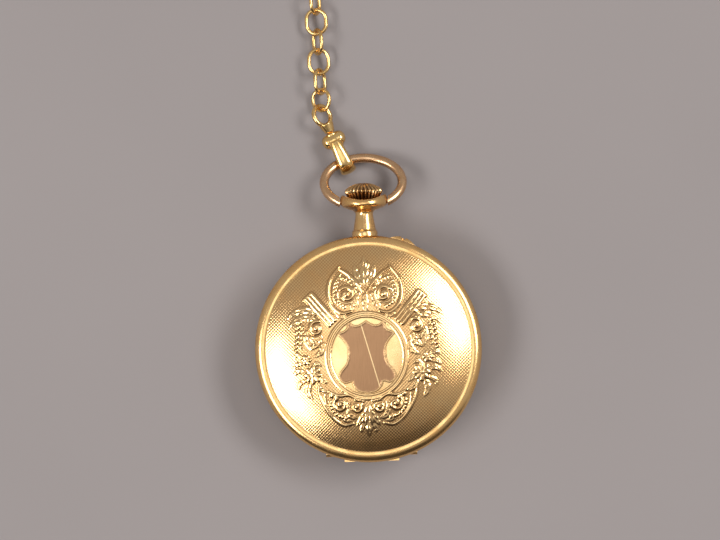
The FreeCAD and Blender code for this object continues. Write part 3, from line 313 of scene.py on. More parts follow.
def near_path(path, reach):
    """The grid points within reach of a path: their indices, their distance to it and how far along it they are."""
    box = (AX > path[:, 0].min() - reach) & (AX < path[:, 0].max() + reach)
    box &= (GY > path[:, 1].min() - reach) & (GY < path[:, 1].max() + reach)
    at = np.nonzero(box)
    x, y = AX[at][:, None], GY[at][:, None]
    a, d = path[:-1], np.diff(path, axis=0)
    span = np.maximum((d ** 2).sum(1), 1e-9)
    t = np.clip(((x - a[:, 0]) * d[:, 0] + (y - a[:, 1]) * d[:, 1]) / span, 0, 1)
    far = np.hypot(x - a[:, 0] - t * d[:, 0], y - a[:, 1] - t * d[:, 1])
    best = far.argmin(1)
    rows = np.arange(len(best))
    along = (best + t[rows, best]) / len(d)
    return at, far[rows, best], along


def lift(at, height):
    """Raises the relief to a height where it is lower."""
    relief[at] = np.maximum(relief[at], height)


def ridge(points, width, height, closed=False, taper=0.0):
    """A round ridge along a line, width from its crest to its foot; taper thins its ends."""
    at, far, along = near_path(smooth_path(points, closed), width)
    w = width * (1 - taper * np.abs(2 * along - 1) ** 2)
    lift(at, height * np.sqrt(np.clip(1 - (far / np.maximum(w, 0.02)) ** 2, 0, 1)))


def pearl(x, y, r, height):
    """One round bead."""
    at = np.nonzero((np.abs(AX - x) < r) & (np.abs(GY - y) < r))
    lift(at, height * np.sqrt(np.clip(1 - ((AX[at] - x) ** 2 + (GY[at] - y) ** 2) / r ** 2, 0, 1)))


def pearls(points, count, r, height, shrink=0.0):
    """A string of pearls along a line, the last one smaller by shrink."""
    path = smooth_path(points)
    for k in range(count):
        s = k / (count - 1) * (len(path) - 1)
        x, y = path[int(s)] + (path[min(int(s) + 1, len(path) - 1)] - path[int(s)]) * (s % 1)
        pearl(x, y, r * (1 - shrink * k / count), height)


def leaf(points, width, height, teeth=4):
    """A leaf along a line from stalk to tip, with a toothed edge, slanting ribs and a cut along its middle."""
    path = smooth_path(points)
    at, far, along = near_path(path, width)
    notch = 1 - 0.28 * (along * teeth % 1)
    w = width * np.sin(np.pi * np.clip(along, 0, 1) ** 0.75) ** 0.8 * notch + 0.03
    q = far / w
    shape = np.sqrt(np.clip(1 - q ** 2, 0, 1))
    ribs = 0.78 + 0.22 * np.cos(2 * np.pi * (along * teeth - 0.7 * np.minimum(q, 1)))
    vein = 1 - 0.55 * np.exp(-(far / 0.13) ** 2)
    ends = (along > 0.002) & (along < 0.998) | (far < 0.1)
    lift(at, height * shape * ribs * vein * ends)


def volute(x, y, r, turns, start, width, height, hand=1):
    """A spiral that winds in to a pearl."""
    t = np.linspace(0, 1, 26)
    a = math.radians(start) + hand * t * turns * 2 * np.pi
    rr = r * (1 - 0.85 * t)
    ridge(np.c_[x + rr * np.cos(a), y + rr * np.sin(a)], width, height)
    pearl(x, y, width * 1.5, height * 1.1)


def flower(x, y, r, petals, height):
    """Round petals about a raised heart."""
    a = np.arctan2(GY - y, AX - x)
    far = np.hypot(GY - y, AX - x)
    rim = r * (0.70 + 0.30 * np.abs(np.cos(a * petals / 2)))
    cup = np.sqrt(np.clip(1 - ((far / rim) * 1.6 - 0.8) ** 2, 0, 1)) * (0.6 + 0.4 * np.abs(np.cos(a * petals / 2)))
    at = np.nonzero(far < rim)
    lift(at, (height * cup)[at])
    pearl(x, y, r * 0.28, height * 1.15)


# %% [markdown]
# ### The ornament
# The strokes are set out as a chaser would scribe them: first the ring and the shield in the middle, then the
# two medallions above it, the bars and leaves at its shoulders, the flowers at its sides and the scrolls below.

# %% Ring, shield and palmettes
def oval(cx, cy, a, b, count=40):
    """Points round an ellipse."""
    t = np.linspace(0, 2 * np.pi, count, endpoint=False)
    return np.c_[cx + a * np.cos(t), cy + b * np.sin(t)]


RING_Y, RING_A, RING_B = -1.35, 8.95, 9.5          # its middle and its half width and height
for inset, w, h in ((0.0, 0.26, 0.15), (0.85, 0.24, 0.13)):
    ridge(oval(0, RING_Y, RING_A - inset, RING_B - inset), w, h, closed=True)
in_ring = ((CX / (RING_A - 1.0)) ** 2 + ((GY - RING_Y) / (RING_B - 1.0)) ** 2) < 1
SHIELD = [(0, 6.1), (0.9, 5.5), (2.0, 5.1), (3.0, 5.3), (3.75, 5.75), (4.1, 4.6), (4.9, 3.95), (5.95, 3.5),
          (5.0, 2.4), (4.1, 0.9), (3.9, -1.2), (4.4, -3.2), (5.6, -4.7), (6.05, -6.1), (5.0, -7.1), (3.3, -6.8),
          (2.9, -7.9), (1.8, -9.0), (0, -9.4)]
outline = smooth_path(SHIELD)
ys, xs = outline[:, 1], outline[:, 0]
crossings = np.zeros_like(GX)
for (x0, y0), (x1, y1) in zip(outline[:-1], outline[1:]):
    hit = (GY >= min(y0, y1)) & (GY < max(y0, y1))
    crossings += hit & (AX < x0 + (GY - y0) * (x1 - x0) / (y1 - y0 if abs(y1 - y0) > 1e-9 else 1e-9))
shield = (crossings % 2 == 1) & in_ring            # a point inside sees the outline an odd number of times
field = in_ring & ~shield
ridge(SHIELD, 0.2, 0.08)
ridge(oval(0, RING_Y, RING_A - 0.42, RING_B - 0.42), 0.5, 0.06, closed=True)
for points, w, h in (([(0, 14.0), (0, 20.4)], 1.15, 0.24), ([(0.2, 14.2), (1.7, 16.6), (2.2, 18.7)], 0.75, 0.2),
                     ([(0.4, 14.0), (2.4, 15.2), (3.9, 16.9)], 0.7, 0.18), ([(0, 12.4), (0.1, 8.2)], 0.75, 0.2),
                     ([(0, -12.2), (0, -19.2)], 1.25, 0.24), ([(0.4, -13.6), (1.6, -15.4), (2.6, -16.7)], 0.8, 0.2),
                     ([(0.4, -15.2), (1.5, -17.2), (1.6, -18.3)], 0.5, 0.15)):
    leaf(points, w, h, 3)
ridge([(0, 19.2), (0.95, 18.5), (0, 17.2)], 0.16, 0.14)
print("ring, shield and palmettes; highest", round(relief.max(), 3), "mm")

# %% Medallions above, bars and leaves at the shoulders
ridge([(5.5, 18.3), (7.6, 15.4), (8.1, 12.2), (7.2, 9.6), (5.2, 8.1), (3.1, 8.4)], 0.38, 0.26, taper=0.5)
ridge([(5.7, 17.9), (3.7, 16.6), (1.7, 14.6), (0.5, 12.6)], 0.30, 0.24, taper=0.4)
ridge([(5.2, 16.7), (6.7, 14.6), (7.1, 12.2), (6.4, 10.2)], 0.2, 0.16, taper=0.6)
pearls([(6.1, 14.9), (6.6, 12.6), (6.1, 10.5), (4.6, 9.4)], 9, 0.36, 0.2)
pearls([(2.1, 13.6), (3.2, 14.9), (4.5, 15.6), (5.6, 15.9)], 6, 0.34, 0.18)
volute(4.1, 12.1, 1.75, 1.3, 40, 0.34, 0.26)
ridge(oval(4.1, 12.1, 2.05, 1.85), 0.2, 0.14, closed=True)
for points, w in (([(1.2, 12.6), (2.0, 11.2), (1.6, 9.2)], 0.6), ([(2.2, 11.0), (2.9, 9.6), (2.6, 8.4)], 0.5),
                  ([(1.0, 14.2), (2.0, 14.8), (3.3, 14.6)], 0.5), ([(6.9, 9.4), (5.6, 7.6), (3.6, 7.3)], 0.7)):
    leaf(points, w, 0.2, 3)
for side in (-0.85, 0.0, 0.85):
    ridge([(12.3 + side * 0.75, 11.9 - side * 0.68), (7.4 + side * 0.75, 6.1 - side * 0.68)], 0.42, 0.28)
ridge([(11.9, 12.6), (13.4, 11.3)], 0.3, 0.26)
for points, w, h in (([(9.4, 8.0), (12.4, 9.0), (15.2, 8.6), (17.2, 7.2)], 0.95, 0.26),
                     ([(10.4, 6.6), (13.0, 7.4), (15.4, 6.6), (16.9, 5.0)], 0.8, 0.22),
                     ([(9.6, 2.9), (11.4, 2.5), (12.9, 3.4)], 0.8, 0.22),
                     ([(9.9, 3.5), (10.9, 1.5), (12.6, 0.3)], 0.9, 0.24),
                     ([(9.3, 1.8), (9.9, -0.2), (11.6, -1.4)], 0.75, 0.2),
                     ([(13.0, 4.6), (13.1, 2.2), (12.3, 0.2)], 0.65, 0.2)):
    leaf(points, w, h, 4)
volute(10.9, 4.9, 1.65, 1.4, 110, 0.36, 0.28, -1)
ridge([(8.1, 7.0), (9.0, 8.3), (10.8, 8.2), (12.6, 6.8)], 0.3, 0.22, taper=0.5)
pearls([(14.6, 6.4), (15.1, 4.2), (15.3, 2.0), (15.5, 0.2)], 7, 0.52, 0.26, shrink=0.3)
pearls([(13.9, 5.2), (14.1, 3.2), (14.4, 1.0)], 5, 0.36, 0.2)
print("medallions, bars and leaves; highest", round(relief.max(), 3), "mm")

# %% Flowers at the sides and scrolls below
flower(12.0, -5.3, 2.0, 8, 0.27)
flower(13.4, -2.0, 1.15, 6, 0.24)
for points, w in (([(13.6, -4.6), (15.2, -4.4), (16.4, -5.4)], 0.6),
                  ([(14.1, -2.8), (15.5, -3.0), (16.2, -4.0)], 0.5),
                  ([(14.2, -1.4), (15.4, -0.8), (16.0, -1.6)], 0.45),
                  ([(12.6, -7.0), (13.2, -8.8), (12.2, -10.9)], 0.85),
                  ([(11.0, -7.0), (10.2, -8.4), (8.7, -9.2)], 0.7), ([(10.4, -5.4), (9.6, -6.6), (8.8, -7.2)], 0.5),
                  ([(12.1, -3.6), (11.0, -2.8), (9.9, -3.4)], 0.5),
                  ([(13.5, -6.4), (14.9, -7.2), (15.1, -8.6)], 0.5)):
    leaf(points, w, 0.22, 3)
ridge([(10.9, -7.6), (10.6, -10.0), (9.4, -12.6), (7.7, -15.0), (5.5, -16.5), (3.4, -16.2)], 0.34, 0.24, taper=0.4)
ridge([(9.4, -9.6), (9.3, -11.6), (8.3, -13.6), (6.6, -15.2)], 0.2, 0.15, taper=0.5)
ridge([(2.2, -11.2), (4.2, -9.9), (6.4, -10.0), (8.6, -9.0)], 0.3, 0.22, taper=0.4)
volute(6.1, -12.0, 1.6, 1.3, 60, 0.34, 0.26, -1)
volute(2.6, -12.6, 1.25, 1.2, 150, 0.3, 0.24)
pearls([(8.2, -11.3), (7.9, -13.0), (6.6, -14.4), (4.9, -14.9)], 8, 0.38, 0.22)
pearls([(7.9, -9.9), (7.0, -10.4)], 2, 0.5, 0.24)
for points, w in (([(4.6, -13.2), (3.8, -14.6), (2.5, -15.0)], 0.7),
                  ([(0.7, -11.4), (1.9, -10.9), (3.3, -11.2)], 0.5),
                  ([(4.2, -11.2), (4.4, -12.6), (3.6, -13.8)], 0.5),
                  ([(5.4, -14.2), (5.0, -15.4), (3.6, -15.7)], 0.5)):
    leaf(points, w, 0.2, 3)
relief[field] = np.minimum(relief[field], 0.09)    # strokes that run into the field are filed low
covered = relief > 0.015
print("ornament covers", round(100 * covered.mean()), "% of the lid, highest", round(relief.max(), 3), "mm")


# %% [markdown]
# ### From heights to a closed sheet of metal
# Four masks go to the mesh as attributes: where the ornament stands, where the relief is hollow, the plain field in
# the ring and the brushed shield. A hollow is lower than the average round it, so a blur of the heights finds it;
# the material paints shade into the hollow places with that mask.
# The sheet is closed underneath by a few rings that lie inside the wall of the cover.

# %% Masks and mesh
def blurred(grid, times):
    """A grid of values softened by its neighbours, so many times."""
    out = grid.astype(float)
    for _ in range(times):
        out = (np.roll(out, 1, 0) + out * 2 + np.roll(out, -1, 0)) / 4
        out = (np.roll(out, 1, 1) + out * 2 + np.roll(out, -1, 1)) / 4
    return out


def wall(rings):
    """The faces between neighbouring closed rings, each a row of point numbers."""
    onward = np.roll(rings, -1, 1)
    return np.c_[rings[:-1].ravel(), rings[1:].ravel(), onward[1:].ravel(), onward[:-1].ravel()].tolist()


# painted shade mask: how far each point lies under the blurred heights round it, to darken the relief's recesses
hollow_shade_mask = np.clip((blurred(relief, 5) - relief) * 14, 0, 1)
ornament_mask = np.clip(blurred(covered, 2) * 1.3, 0, 1)
field_mask = blurred(field, 1)
shield_mask = blurred(shield, 1)
radius = np.hypot(GX, GY)                          # of each grid point from the lid's middle
sunk = relief - 0.05 * shield - 0.02 * field
clearance = 0.06 - 0.05 * np.clip((radius - 20.5) / 2, 0, 1)     # above the cover, and fading towards its rim
top = lid_height(radius) + clearance + sunk * np.clip((22.4 - radius) / 1.5, 0, 1)
verts = np.c_[GX.ravel(), GY.ravel(), top.ravel()]
index = np.arange(COUNT * COUNT).reshape(COUNT, COUNT)
faces = np.c_[index[:-1, :-1].ravel(), index[:-1, 1:].ravel(), index[1:, 1:].ravel(), index[1:, :-1].ravel()].tolist()
rim = np.r_[index[0, :-1], index[:-1, -1], index[-1, :0:-1], index[:0:-1, 0]]
around = np.arctan2(verts[rim, 1], verts[rim, 0])
last, SHEET = rim, 0.2                             # the underside lies this far under the cover's outside
for r in (LID_EDGE, 20.0, 17.0, 13.0, 8.0, 3.0):
    ring_at = len(verts) + np.arange(len(rim))
    under = np.full(len(rim), float(lid_height(r)) - SHEET)
    verts = np.vstack([verts, np.c_[r * np.cos(around), r * np.sin(around), under]])
    faces += wall(np.array([last, ring_at]))
    last = ring_at
verts = np.vstack([verts, [[0, 0, float(lid_height(0)) - SHEET]]])
faces += np.c_[last, np.full(len(last), len(verts) - 1), np.roll(last, -1)].tolist()


CREASE = 62                                        # degrees; an edge bent by more stays sharp


def closed_mesh(name, points_mm, polygons, material):
    """A smooth-shaded mesh object from points in millimetres, its faces turned outwards."""
    data = bpy.data.meshes.new(name)
    data.from_pydata((np.asarray(points_mm) * MM).tolist(), [], polygons)
    work = bmesh.new()
    work.from_mesh(data)
    bmesh.ops.recalc_face_normals(work, faces=work.faces)
    if work.calc_volume(signed=True) < 0:
        bmesh.ops.reverse_faces(work, faces=work.faces)
    work.to_mesh(data)
    work.free()
    data.shade_smooth()
    data.set_sharp_from_angle(angle=math.radians(CREASE))
    data.materials.append(material)
    thing = bpy.data.objects.new(name, data)
    scene.collection.objects.link(thing)
    return thing


# %% The lid's finish
lid_gold, tree, shader = new_material("lid_gold", Metallic=1.0)
group = put(tree, "ShaderNodeGroup", node_tree=handled, Bright=(0.98, 0.70, 0.35, 1), Dull=(0.94, 0.58, 0.25, 1),
            Smooth=0.11, Rough=0.19, Patch_Size=5.0)
ornament, hollow_shade, plain, brushed = (put(tree, "ShaderNodeAttribute", attribute_name=n).outputs["Fac"]
                                     for n in ("ornament", "hollow", "field", "shield"))
mm = object_mm(tree)
xyz = put(tree, "ShaderNodeSeparateXYZ", Vector=mm)
PITCH = 0.72                                       # the lattice, from dot to dot
waves = [math_node(tree, "COSINE", math_node(tree, "MULTIPLY", xyz.outputs[k], 2 * math.pi / PITCH)) for k in (0, 1)]
lattice = ramp(tree, math_node(tree, "MULTIPLY", *waves), -0.6, 0.7)
ground = math_node(tree, "SUBTRACT", math_node(tree, "SUBTRACT", 1.0, ornament), plain)
ground = math_node(tree, "SUBTRACT", ground, brushed, clamp=True)
grain = put(tree, "ShaderNodeVectorMath", operation="MULTIPLY", i0=mm, i1=(9.0, 0.35, 1.0))
satin = put(tree, "ShaderNodeTexNoise", Vector=grain.outputs[0], Scale=1.0, Detail=4.0, Roughness=0.7).outputs["Fac"]
pits = put(tree, "ShaderNodeTexVoronoi", Vector=mm, Scale=0.85)
pit = ramp(tree, pits.outputs["Distance"], 0.05, 0.12, 1.0, 0.0)
off_line = math_node(tree, "ADD", xyz.outputs[0], math_node(tree, "MULTIPLY", xyz.outputs[1], 0.27))
slash = ramp(tree, math_node(tree, "ABSOLUTE", off_line), 0.06, 0.16, 1.0, 0.0)     # one bright line down the shield
slash = math_node(tree, "MULTIPLY", slash, brushed)
# painted shade: the cut dots of the lattice on the ground darkened toward brown
painted_lattice_shade = math_node(tree, "MULTIPLY", math_node(tree, "SUBTRACT", 1.0, lattice), math_node(tree, "MULTIPLY", ground, 0.7))
colour = blend_colour(tree, painted_lattice_shade, group.outputs["Colour"], (0.62, 0.33, 0.12, 1))
# painted shade: the recesses of the relief darkened toward a deep brown
colour = blend_colour(tree, math_node(tree, "MULTIPLY", hollow_shade, 0.85), colour, (0.40, 0.20, 0.07, 1))
satin_tone = blend_colour(tree, satin, (0.30, 0.165, 0.085, 1), (0.50, 0.29, 0.155, 1))
colour = blend_colour(tree, brushed, colour, satin_tone)
colour = blend_colour(tree, slash, colour, (0.93, 0.68, 0.36, 1))
pitted = math_node(tree, "MULTIPLY", plain, math_node(tree, "MULTIPLY", pit, 0.5))
colour = blend_colour(tree, pitted, colour, (0.45, 0.27, 0.12, 1))
tree.links.new(colour, shader.inputs["Base Color"])
rough = math_node(tree, "ADD", group.outputs["Roughness"], math_node(tree, "MULTIPLY", brushed, 0.22))
rough = math_node(tree, "ADD", rough, math_node(tree, "MULTIPLY", math_node(tree, "ADD", ground, plain), 0.07))
tree.links.new(rough, shader.inputs["Roughness"])
cut = put(tree, "ShaderNodeBump", Height=math_node(tree, "MULTIPLY", lattice, ground), Strength=0.28, Distance=0.00006)
hair = put(tree, "ShaderNodeBump", Height=math_node(tree, "MULTIPLY", satin, brushed), Strength=0.25,
           Distance=0.00005, Normal=cut.outputs[0])
worn = put(tree, "ShaderNodeBump", Height=group.outputs["Height"], Strength=0.03, Distance=0.0001,
           Normal=hair.outputs[0])
tree.links.new(worn.outputs[0], shader.inputs["Normal"])

# %% The lid itself
lid = closed_mesh("lid_engraving", verts, faces, lid_gold)
for label, mask in (("ornament", ornament_mask), ("hollow", hollow_shade_mask), ("field", field_mask),
                    ("shield", shield_mask)):
    layer = lid.data.attributes.new(label, "FLOAT", "POINT")
    full = np.zeros(len(lid.data.vertices), np.float32)
    full[:COUNT * COUNT] = mask.ravel()
    layer.data.foreach_set("value", full)
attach(lid, "front")
print("lid:", sum(len(p.vertices) - 2 for p in lid.data.polygons), "triangles")

# %% [markdown]
# ## Turned and filed pieces
# The case, its covers, the glass, the bow and the chain keep the shape that the CAD gives them, but a CAD mesh is
# loose triangles with hard edges between them, and polished gold shows each facet. A copy with its points
# merged and its edges softened where they meet at a small angle reflects as one surface. The eye and the gate of
# the clip are cast, so their copies are also remeshed finely and relaxed, which rounds every joint in them.


# %% Copies that reflect as one surface
MERGE = 2e-6                                       # metres; points nearer than this are one


def made_mesh(thing):
    """What an object's text or modifiers come to, as a plain mesh."""
    return bpy.data.meshes.new_from_object(thing.evaluated_get(bpy.context.evaluated_depsgraph_get()))


def settle(thing):
    """Puts what an object's modifiers make of its mesh in the mesh's place."""
    done = made_mesh(thing)
    thing.modifiers.clear()
    thing.data = done


def weld(thing, voxel, relax):
    """Makes an object one skin, remeshed as finely as voxel millimetres and relaxed so many times."""
    mod = thing.modifiers.new("weld", "REMESH")
    mod.mode, mod.voxel_size, mod.use_smooth_shade = "VOXEL", voxel * MM, True
    soft = thing.modifiers.new("relax", "SMOOTH")
    soft.factor, soft.iterations = 0.5, relax
    settle(thing)
    thing.data.shade_smooth()


def smooth_copy(node, material, angle=32, voxel=None, relax=0):
    """A merged, smooth-shaded copy of a CAD node that takes its place."""
    source = nodes[node]
    data = source.data.copy()
    work = bmesh.new()
    work.from_mesh(data)
    bmesh.ops.remove_doubles(work, verts=work.verts, dist=MERGE)
    for edge in work.edges:
        edge.smooth = len(edge.link_faces) == 2 and edge.calc_face_angle(0) < math.radians(angle)
    for face in work.faces:
        face.smooth = True
    work.to_mesh(data)
    work.free()
    data.materials.clear()
    data.materials.append(material)
    thing = bpy.data.objects.new("fine_" + node, data)
    scene.collection.objects.link(thing)
    if voxel:
        weld(thing, voxel, relax)
    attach(thing, home[node])
    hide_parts(node)


CASE_PIECES = ["case_band", "front_cover", "back_cover", "cuvette", "bezel", "olivette", "setting_pin",
               "front_hinge_pin", "back_hinge_pin"]
for node in CASE_PIECES:
    smooth_copy(node, polished_gold)
smooth_copy("crystal", crystal_glass, 40)
smooth_copy("bow", rose_brass, 60)
for node in [f"chain_link_{k:02d}" for k in range(1, 9)] + ["t_bar"]:
    smooth_copy(node, chain_metal, 60)
for node in ("clip_eye", "clip_gate"):
    smooth_copy(node, chain_metal, 50, 0.09, 6)

# %% [markdown]
# ## Pendant and crown
# Both are turned, so both are one ring of points carried round an axis. Two things keep them from being plain
# lathe work: the rim of the pendant's bowl dips between the two ears that hold the bow, so that a thumb finds
# the crown, and the crown is fluted. Each is a change of the ring with the angle, so one helper lays a grid of
# rings and asks a small function where each point goes.


# %% Rings about the winding axis
STEM_Z = 7.8                                       # height of the winding axis, which runs along Y


def carried(name, profile, count, move, material, body, replaced):
    """A closed piece from a profile of (radius, y) carried about the winding axis; move shifts each point."""
    path = smooth_path(profile, steps=6)
    path[:, 0] = np.maximum(path[:, 0], 0)
    angles = np.linspace(0, 2 * np.pi, count, endpoint=False)
    points = []
    for r, y in path[1:-1]:
        rr, yy = move(np.full(count, r), np.full(count, y), angles)
        points.append(np.c_[rr * np.cos(angles), yy, STEM_Z + rr * np.sin(angles)])
    rings = len(points)
    points = np.vstack(points + [[[0, path[0, 1], STEM_Z]], [[0, path[-1, 1], STEM_Z]]])
    at = np.arange(rings * count).reshape(rings, count)
    polygons = wall(at)
    for ring, pole in ((at[0], rings * count), (at[-1], rings * count + 1)):
        polygons += np.c_[ring, np.roll(ring, -1), np.full(count, pole)].tolist()
    thing = closed_mesh(name, points, polygons, material)
    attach(thing, body)
    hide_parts(replaced)
    print(name, len(polygons), "faces")


# %% Pendant with its dipped bowl
SAG, BOWL_FOOT, BOWL_DEPTH = 1.25, 31.3, 2.6


def dip(r, y, a):
    """Lowers the bowl's rim between the ears, most at its front and back."""
    return r, y - SAG * np.sin(a) ** 2 * np.clip((y - BOWL_FOOT) / BOWL_DEPTH, 0, 1)


foot = [(0, 24.05), (1.2, 24.0), (2.6, 24.05), (2.82, 24.5), (2.85, 25.3), (2.8, 25.9), (2.55, 26.25), (2.45, 26.5)]
neck = [(2.27, 27.6), (2.02, 29.0), (1.95, 29.9), (2.3, 30.5), (3.4, 30.95)]
bowl = [(4.7, 31.5), (5.15, 32.15), (5.22, 33.0), (5.1, 33.75), (4.85, 34.1), (4.6, 34.05), (4.4, 33.6), (4.3, 32.6),
        (4.1, 31.8), (3.2, 31.55), (1.6, 31.5), (0, 31.5)]
carried("turned_pendant", foot + neck + bowl, 160, dip, polished_gold, "case", "pendant")


# %% Fluted crown
FLUTES, FLUTE_DEPTH = 26, 0.24                     # the depth is from the mean to the crest
tree = crown_gold.node_tree
shader = tree.nodes["Principled BSDF"]
where = put(tree, "ShaderNodeTexCoord")
xyz = put(tree, "ShaderNodeSeparateXYZ", Vector=where.outputs["Object"])
turn = math_node(tree, "ARCTAN2", math_node(tree, "SUBTRACT", xyz.outputs["Z"], STEM_Z * MM), xyz.outputs["X"])
groove = math_node(tree, "COSINE", math_node(tree, "MULTIPLY", turn, float(FLUTES)))
# painted shade: the colour turns a near-black brown in the grooves between the flutes
painted_groove_shade = ramp(tree, groove, -0.9, 0.4, 0.9, 0.0)
gold = shader.inputs["Base Color"].links[0].from_socket
tree.links.new(blend_colour(tree, painted_groove_shade, gold, (0.13, 0.065, 0.025, 1)), shader.inputs["Base Color"])


def flute(r, y, a):
    """Sinks the grooves of the crown, which fade out towards its axis."""
    return r - FLUTE_DEPTH * np.clip((r - 0.5) / 2.0, 0, 1) * (1 - np.cos(FLUTES * a)), y


button = [(0, 32.35), (1.5, 32.3), (2.7, 32.35), (3.1, 32.7), (3.6, 33.7), (4.1, 34.6), (4.16, 34.95), (3.95, 35.35),
          (3.2, 35.9), (1.9, 36.45), (0.8, 36.66), (0, 36.7)]
carried("fluted_crown", button, 16 * FLUTES, flute, crown_gold, "crown_and_stem", "crown")

# %% [markdown]
# ## The clip
# The hook of a swivel clip is forged: a round bar bent over the bow, swelling at the bend, that grows out of a
# fat bead with two thumb lobes. Metaballs or sculpting would do; here the bar is a tube swept along its bend
# with its own width at each point, joined with round beads, and a fine voxel remesh welds them as forging does.


# %% Hook, bead and collar
def swept(path, wide, thick, count=28):
    """A tube along a path in the local YZ plane, wide across X and thick across its bend: points and faces."""
    path = np.asarray(path, float)
    run = np.gradient(path, axis=0)
    run /= np.linalg.norm(run, axis=1)[:, None]
    side = np.c_[-run[:, 1], run[:, 0]]
    t = np.linspace(0, 2 * np.pi, count, endpoint=False)
    pts = [np.c_[w * np.cos(t), p[0] + s[0] * h * np.sin(t), p[1] + s[1] * h * np.sin(t)]
           for p, s, w, h in zip(path, side, wide, thick)]
    at = np.arange(len(pts) * count).reshape(len(pts), count)
    return np.vstack(pts), wall(at) + [at[0].tolist(), at[-1][::-1].tolist()]


def beads(specs):
    """Ellipsoids given as (middle, half sizes)."""
    for middle, half in specs:
        work = bmesh.new()
        bmesh.ops.create_uvsphere(work, u_segments=32, v_segments=20, radius=1)
        yield (np.array([v.co for v in work.verts]) * half + middle, [[v.index for v in f.verts] for f in work.faces])
        work.free()


hook = smooth_path([(4.6, 1.75), (3.6, 2.0), (2.4, 2.18), (1.2, 2.25), (0.2, 2.25), (-0.8, 2.06), (-1.68, 1.48),
                    (-2.16, 0.66), (-2.24, -0.2), (-1.86, -1.02), (-1.2, -1.62), (-0.4, -1.84), (0.3, -1.84),
                    (0.85, -1.84)], steps=5)
share = np.linspace(0, 1, len(hook))
width = np.interp(share, [0, 0.2, 0.5, 0.62, 0.8, 1], [1.35, 1.5, 1.75, 1.85, 1.3, 0.85])
depth = np.interp(share, [0, 0.2, 0.5, 0.62, 0.8, 0.92, 1], [1.05, 0.8, 0.76, 0.74, 0.52, 0.45, 0.25])
body = ((0, 5.25, 0.12), (2.62, 1.6, 1.8))
lobes = [((x, 5.3, 0.3), (1.4, 1.62, 1.6)) for x in (1.3, -1.3)]
collars = [((0, 6.6, 0.1), (1.4, 0.6, 1.4)), ((0, 3.65, 1.5), (1.75, 0.42, 1.2))]
shapes = [swept(hook, width, depth), *beads([body, *lobes, *collars])]
points, polygons = np.zeros((0, 3)), []
for p, f in shapes:
    polygons += [[k + len(points) for k in face] for face in f]
    points = np.vstack([points, p])
CLIP_AT, CLIP_TURN = (-4.1, 41.8, 2.5), 24         # where the bow runs through the hook, and the clip's slant
place = Matrix.Translation(CLIP_AT) @ Matrix.Rotation(math.radians(CLIP_TURN), 4, "Z")
points = np.array([place @ Vector(p) for p in points])
clip = closed_mesh("forged_clip", points, polygons, chain_metal)
weld(clip, 0.085, 8)
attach(clip, "clip")
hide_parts("clip_body")
print("clip:", len(clip.data.polygons), "faces")

# %% [markdown]
# ## Dial
# The enamel dial carries a minute track, twelve numerals and a small seconds track. A tick that repeats sixty
# times is made once and set round a circle by Geometry Nodes, which keep the radius, the length and the number
# as inputs, so both tracks come from one tree. Noon points to the left here, a quarter turn from the crown: on
# every hunter watch the pendant is at three.

# %% A tree that sets ticks round a circle
ticks = bpy.data.node_groups.new("ticks_on_circle", "GeometryNodeTree")
sockets = {}
ticks.interface.new_socket("Geometry", in_out="INPUT", socket_type="NodeSocketGeometry")
for label, kind, value in (("Centre", "NodeSocketVector", (0, 0, 0)), ("Radius", "NodeSocketFloat", 0.019),
                           ("Length", "NodeSocketFloat", 0.0005), ("Width", "NodeSocketFloat", 0.0001),
                           ("Count", "NodeSocketInt", 60), ("Ink", "NodeSocketMaterial", None)):
    item = ticks.interface.new_socket(label, in_out="INPUT", socket_type=kind)
    if value is not None:
        item.default_value = value
    sockets[label] = item.identifier
ticks.interface.new_socket("Geometry", in_out="OUTPUT", socket_type="NodeSocketGeometry")
g_in, g_out = ticks.nodes.new("NodeGroupInput"), ticks.nodes.new("NodeGroupOutput")
circle = put(ticks, "GeometryNodeMeshCircle", Vertices=g_in.outputs["Count"], Radius=g_in.outputs["Radius"])
sizes = put(ticks, "ShaderNodeCombineXYZ", X=g_in.outputs["Length"], Y=g_in.outputs["Width"], Z=0.00005)
block = put(ticks, "GeometryNodeMeshCube", Size=sizes.outputs[0])
spot = put(ticks, "GeometryNodeInputPosition")
flat_way = put(ticks, "ShaderNodeVectorMath", operation="NORMALIZE", i0=spot.outputs[0])
facing = put(ticks, "FunctionNodeAlignRotationToVector", axis="X", Vector=flat_way.outputs[0])
laid = put(ticks, "GeometryNodeInstanceOnPoints", Points=circle.outputs[0], Instance=block.outputs[0],
           Rotation=facing.outputs[0])
real = put(ticks, "GeometryNodeRealizeInstances", Geometry=laid.outputs[0])
moved = put(ticks, "GeometryNodeTransform", Geometry=real.outputs[0], Translation=g_in.outputs["Centre"])
inked = put(ticks, "GeometryNodeSetMaterial", Geometry=moved.outputs[0], Material=g_in.outputs["Ink"])
ticks.links.new(inked.outputs[0], g_out.inputs[0])
print("tree", ticks.name, "with", len(ticks.nodes), "nodes")


# %% The two tracks
def bake(name, tree, **values):
    """Runs a tree on an empty mesh and returns what it made as a plain mesh object."""
    thing = bpy.data.objects.new(name, bpy.data.meshes.new(name))
    scene.collection.objects.link(thing)
    mod = thing.modifiers.new("make", "NODES")
    mod.node_group = tree
    for key, value in values.items():
        mod[sockets[key]] = value
    settle(thing)
    return thing


DIAL = 10.5                                        # height of the dial's face
SECONDS_X, SECONDS = 9.2, DIAL - 0.14              # middle and height of the small seconds dial, which is sunk
for label, centre, r, length, width, count in (
        ("minute_ticks", (0, 0, DIAL), 19.4, 0.9, 0.10, 60), ("hour_ticks", (0, 0, DIAL), 19.3, 1.2, 0.26, 12),
        ("second_ticks", (SECONDS_X, 0, SECONDS), 4.0, 0.55, 0.07, 60),
        ("ten_second_ticks", (SECONDS_X, 0, SECONDS), 3.9, 0.8, 0.14, 12)):
    track = bake(label, ticks, Centre=Vector(centre) * MM, Radius=r * MM, Length=length * MM, Width=width * MM,
                 Count=count, Ink=dial_ink)
    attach(track, "case")
    print(label, len(track.data.polygons), "faces")


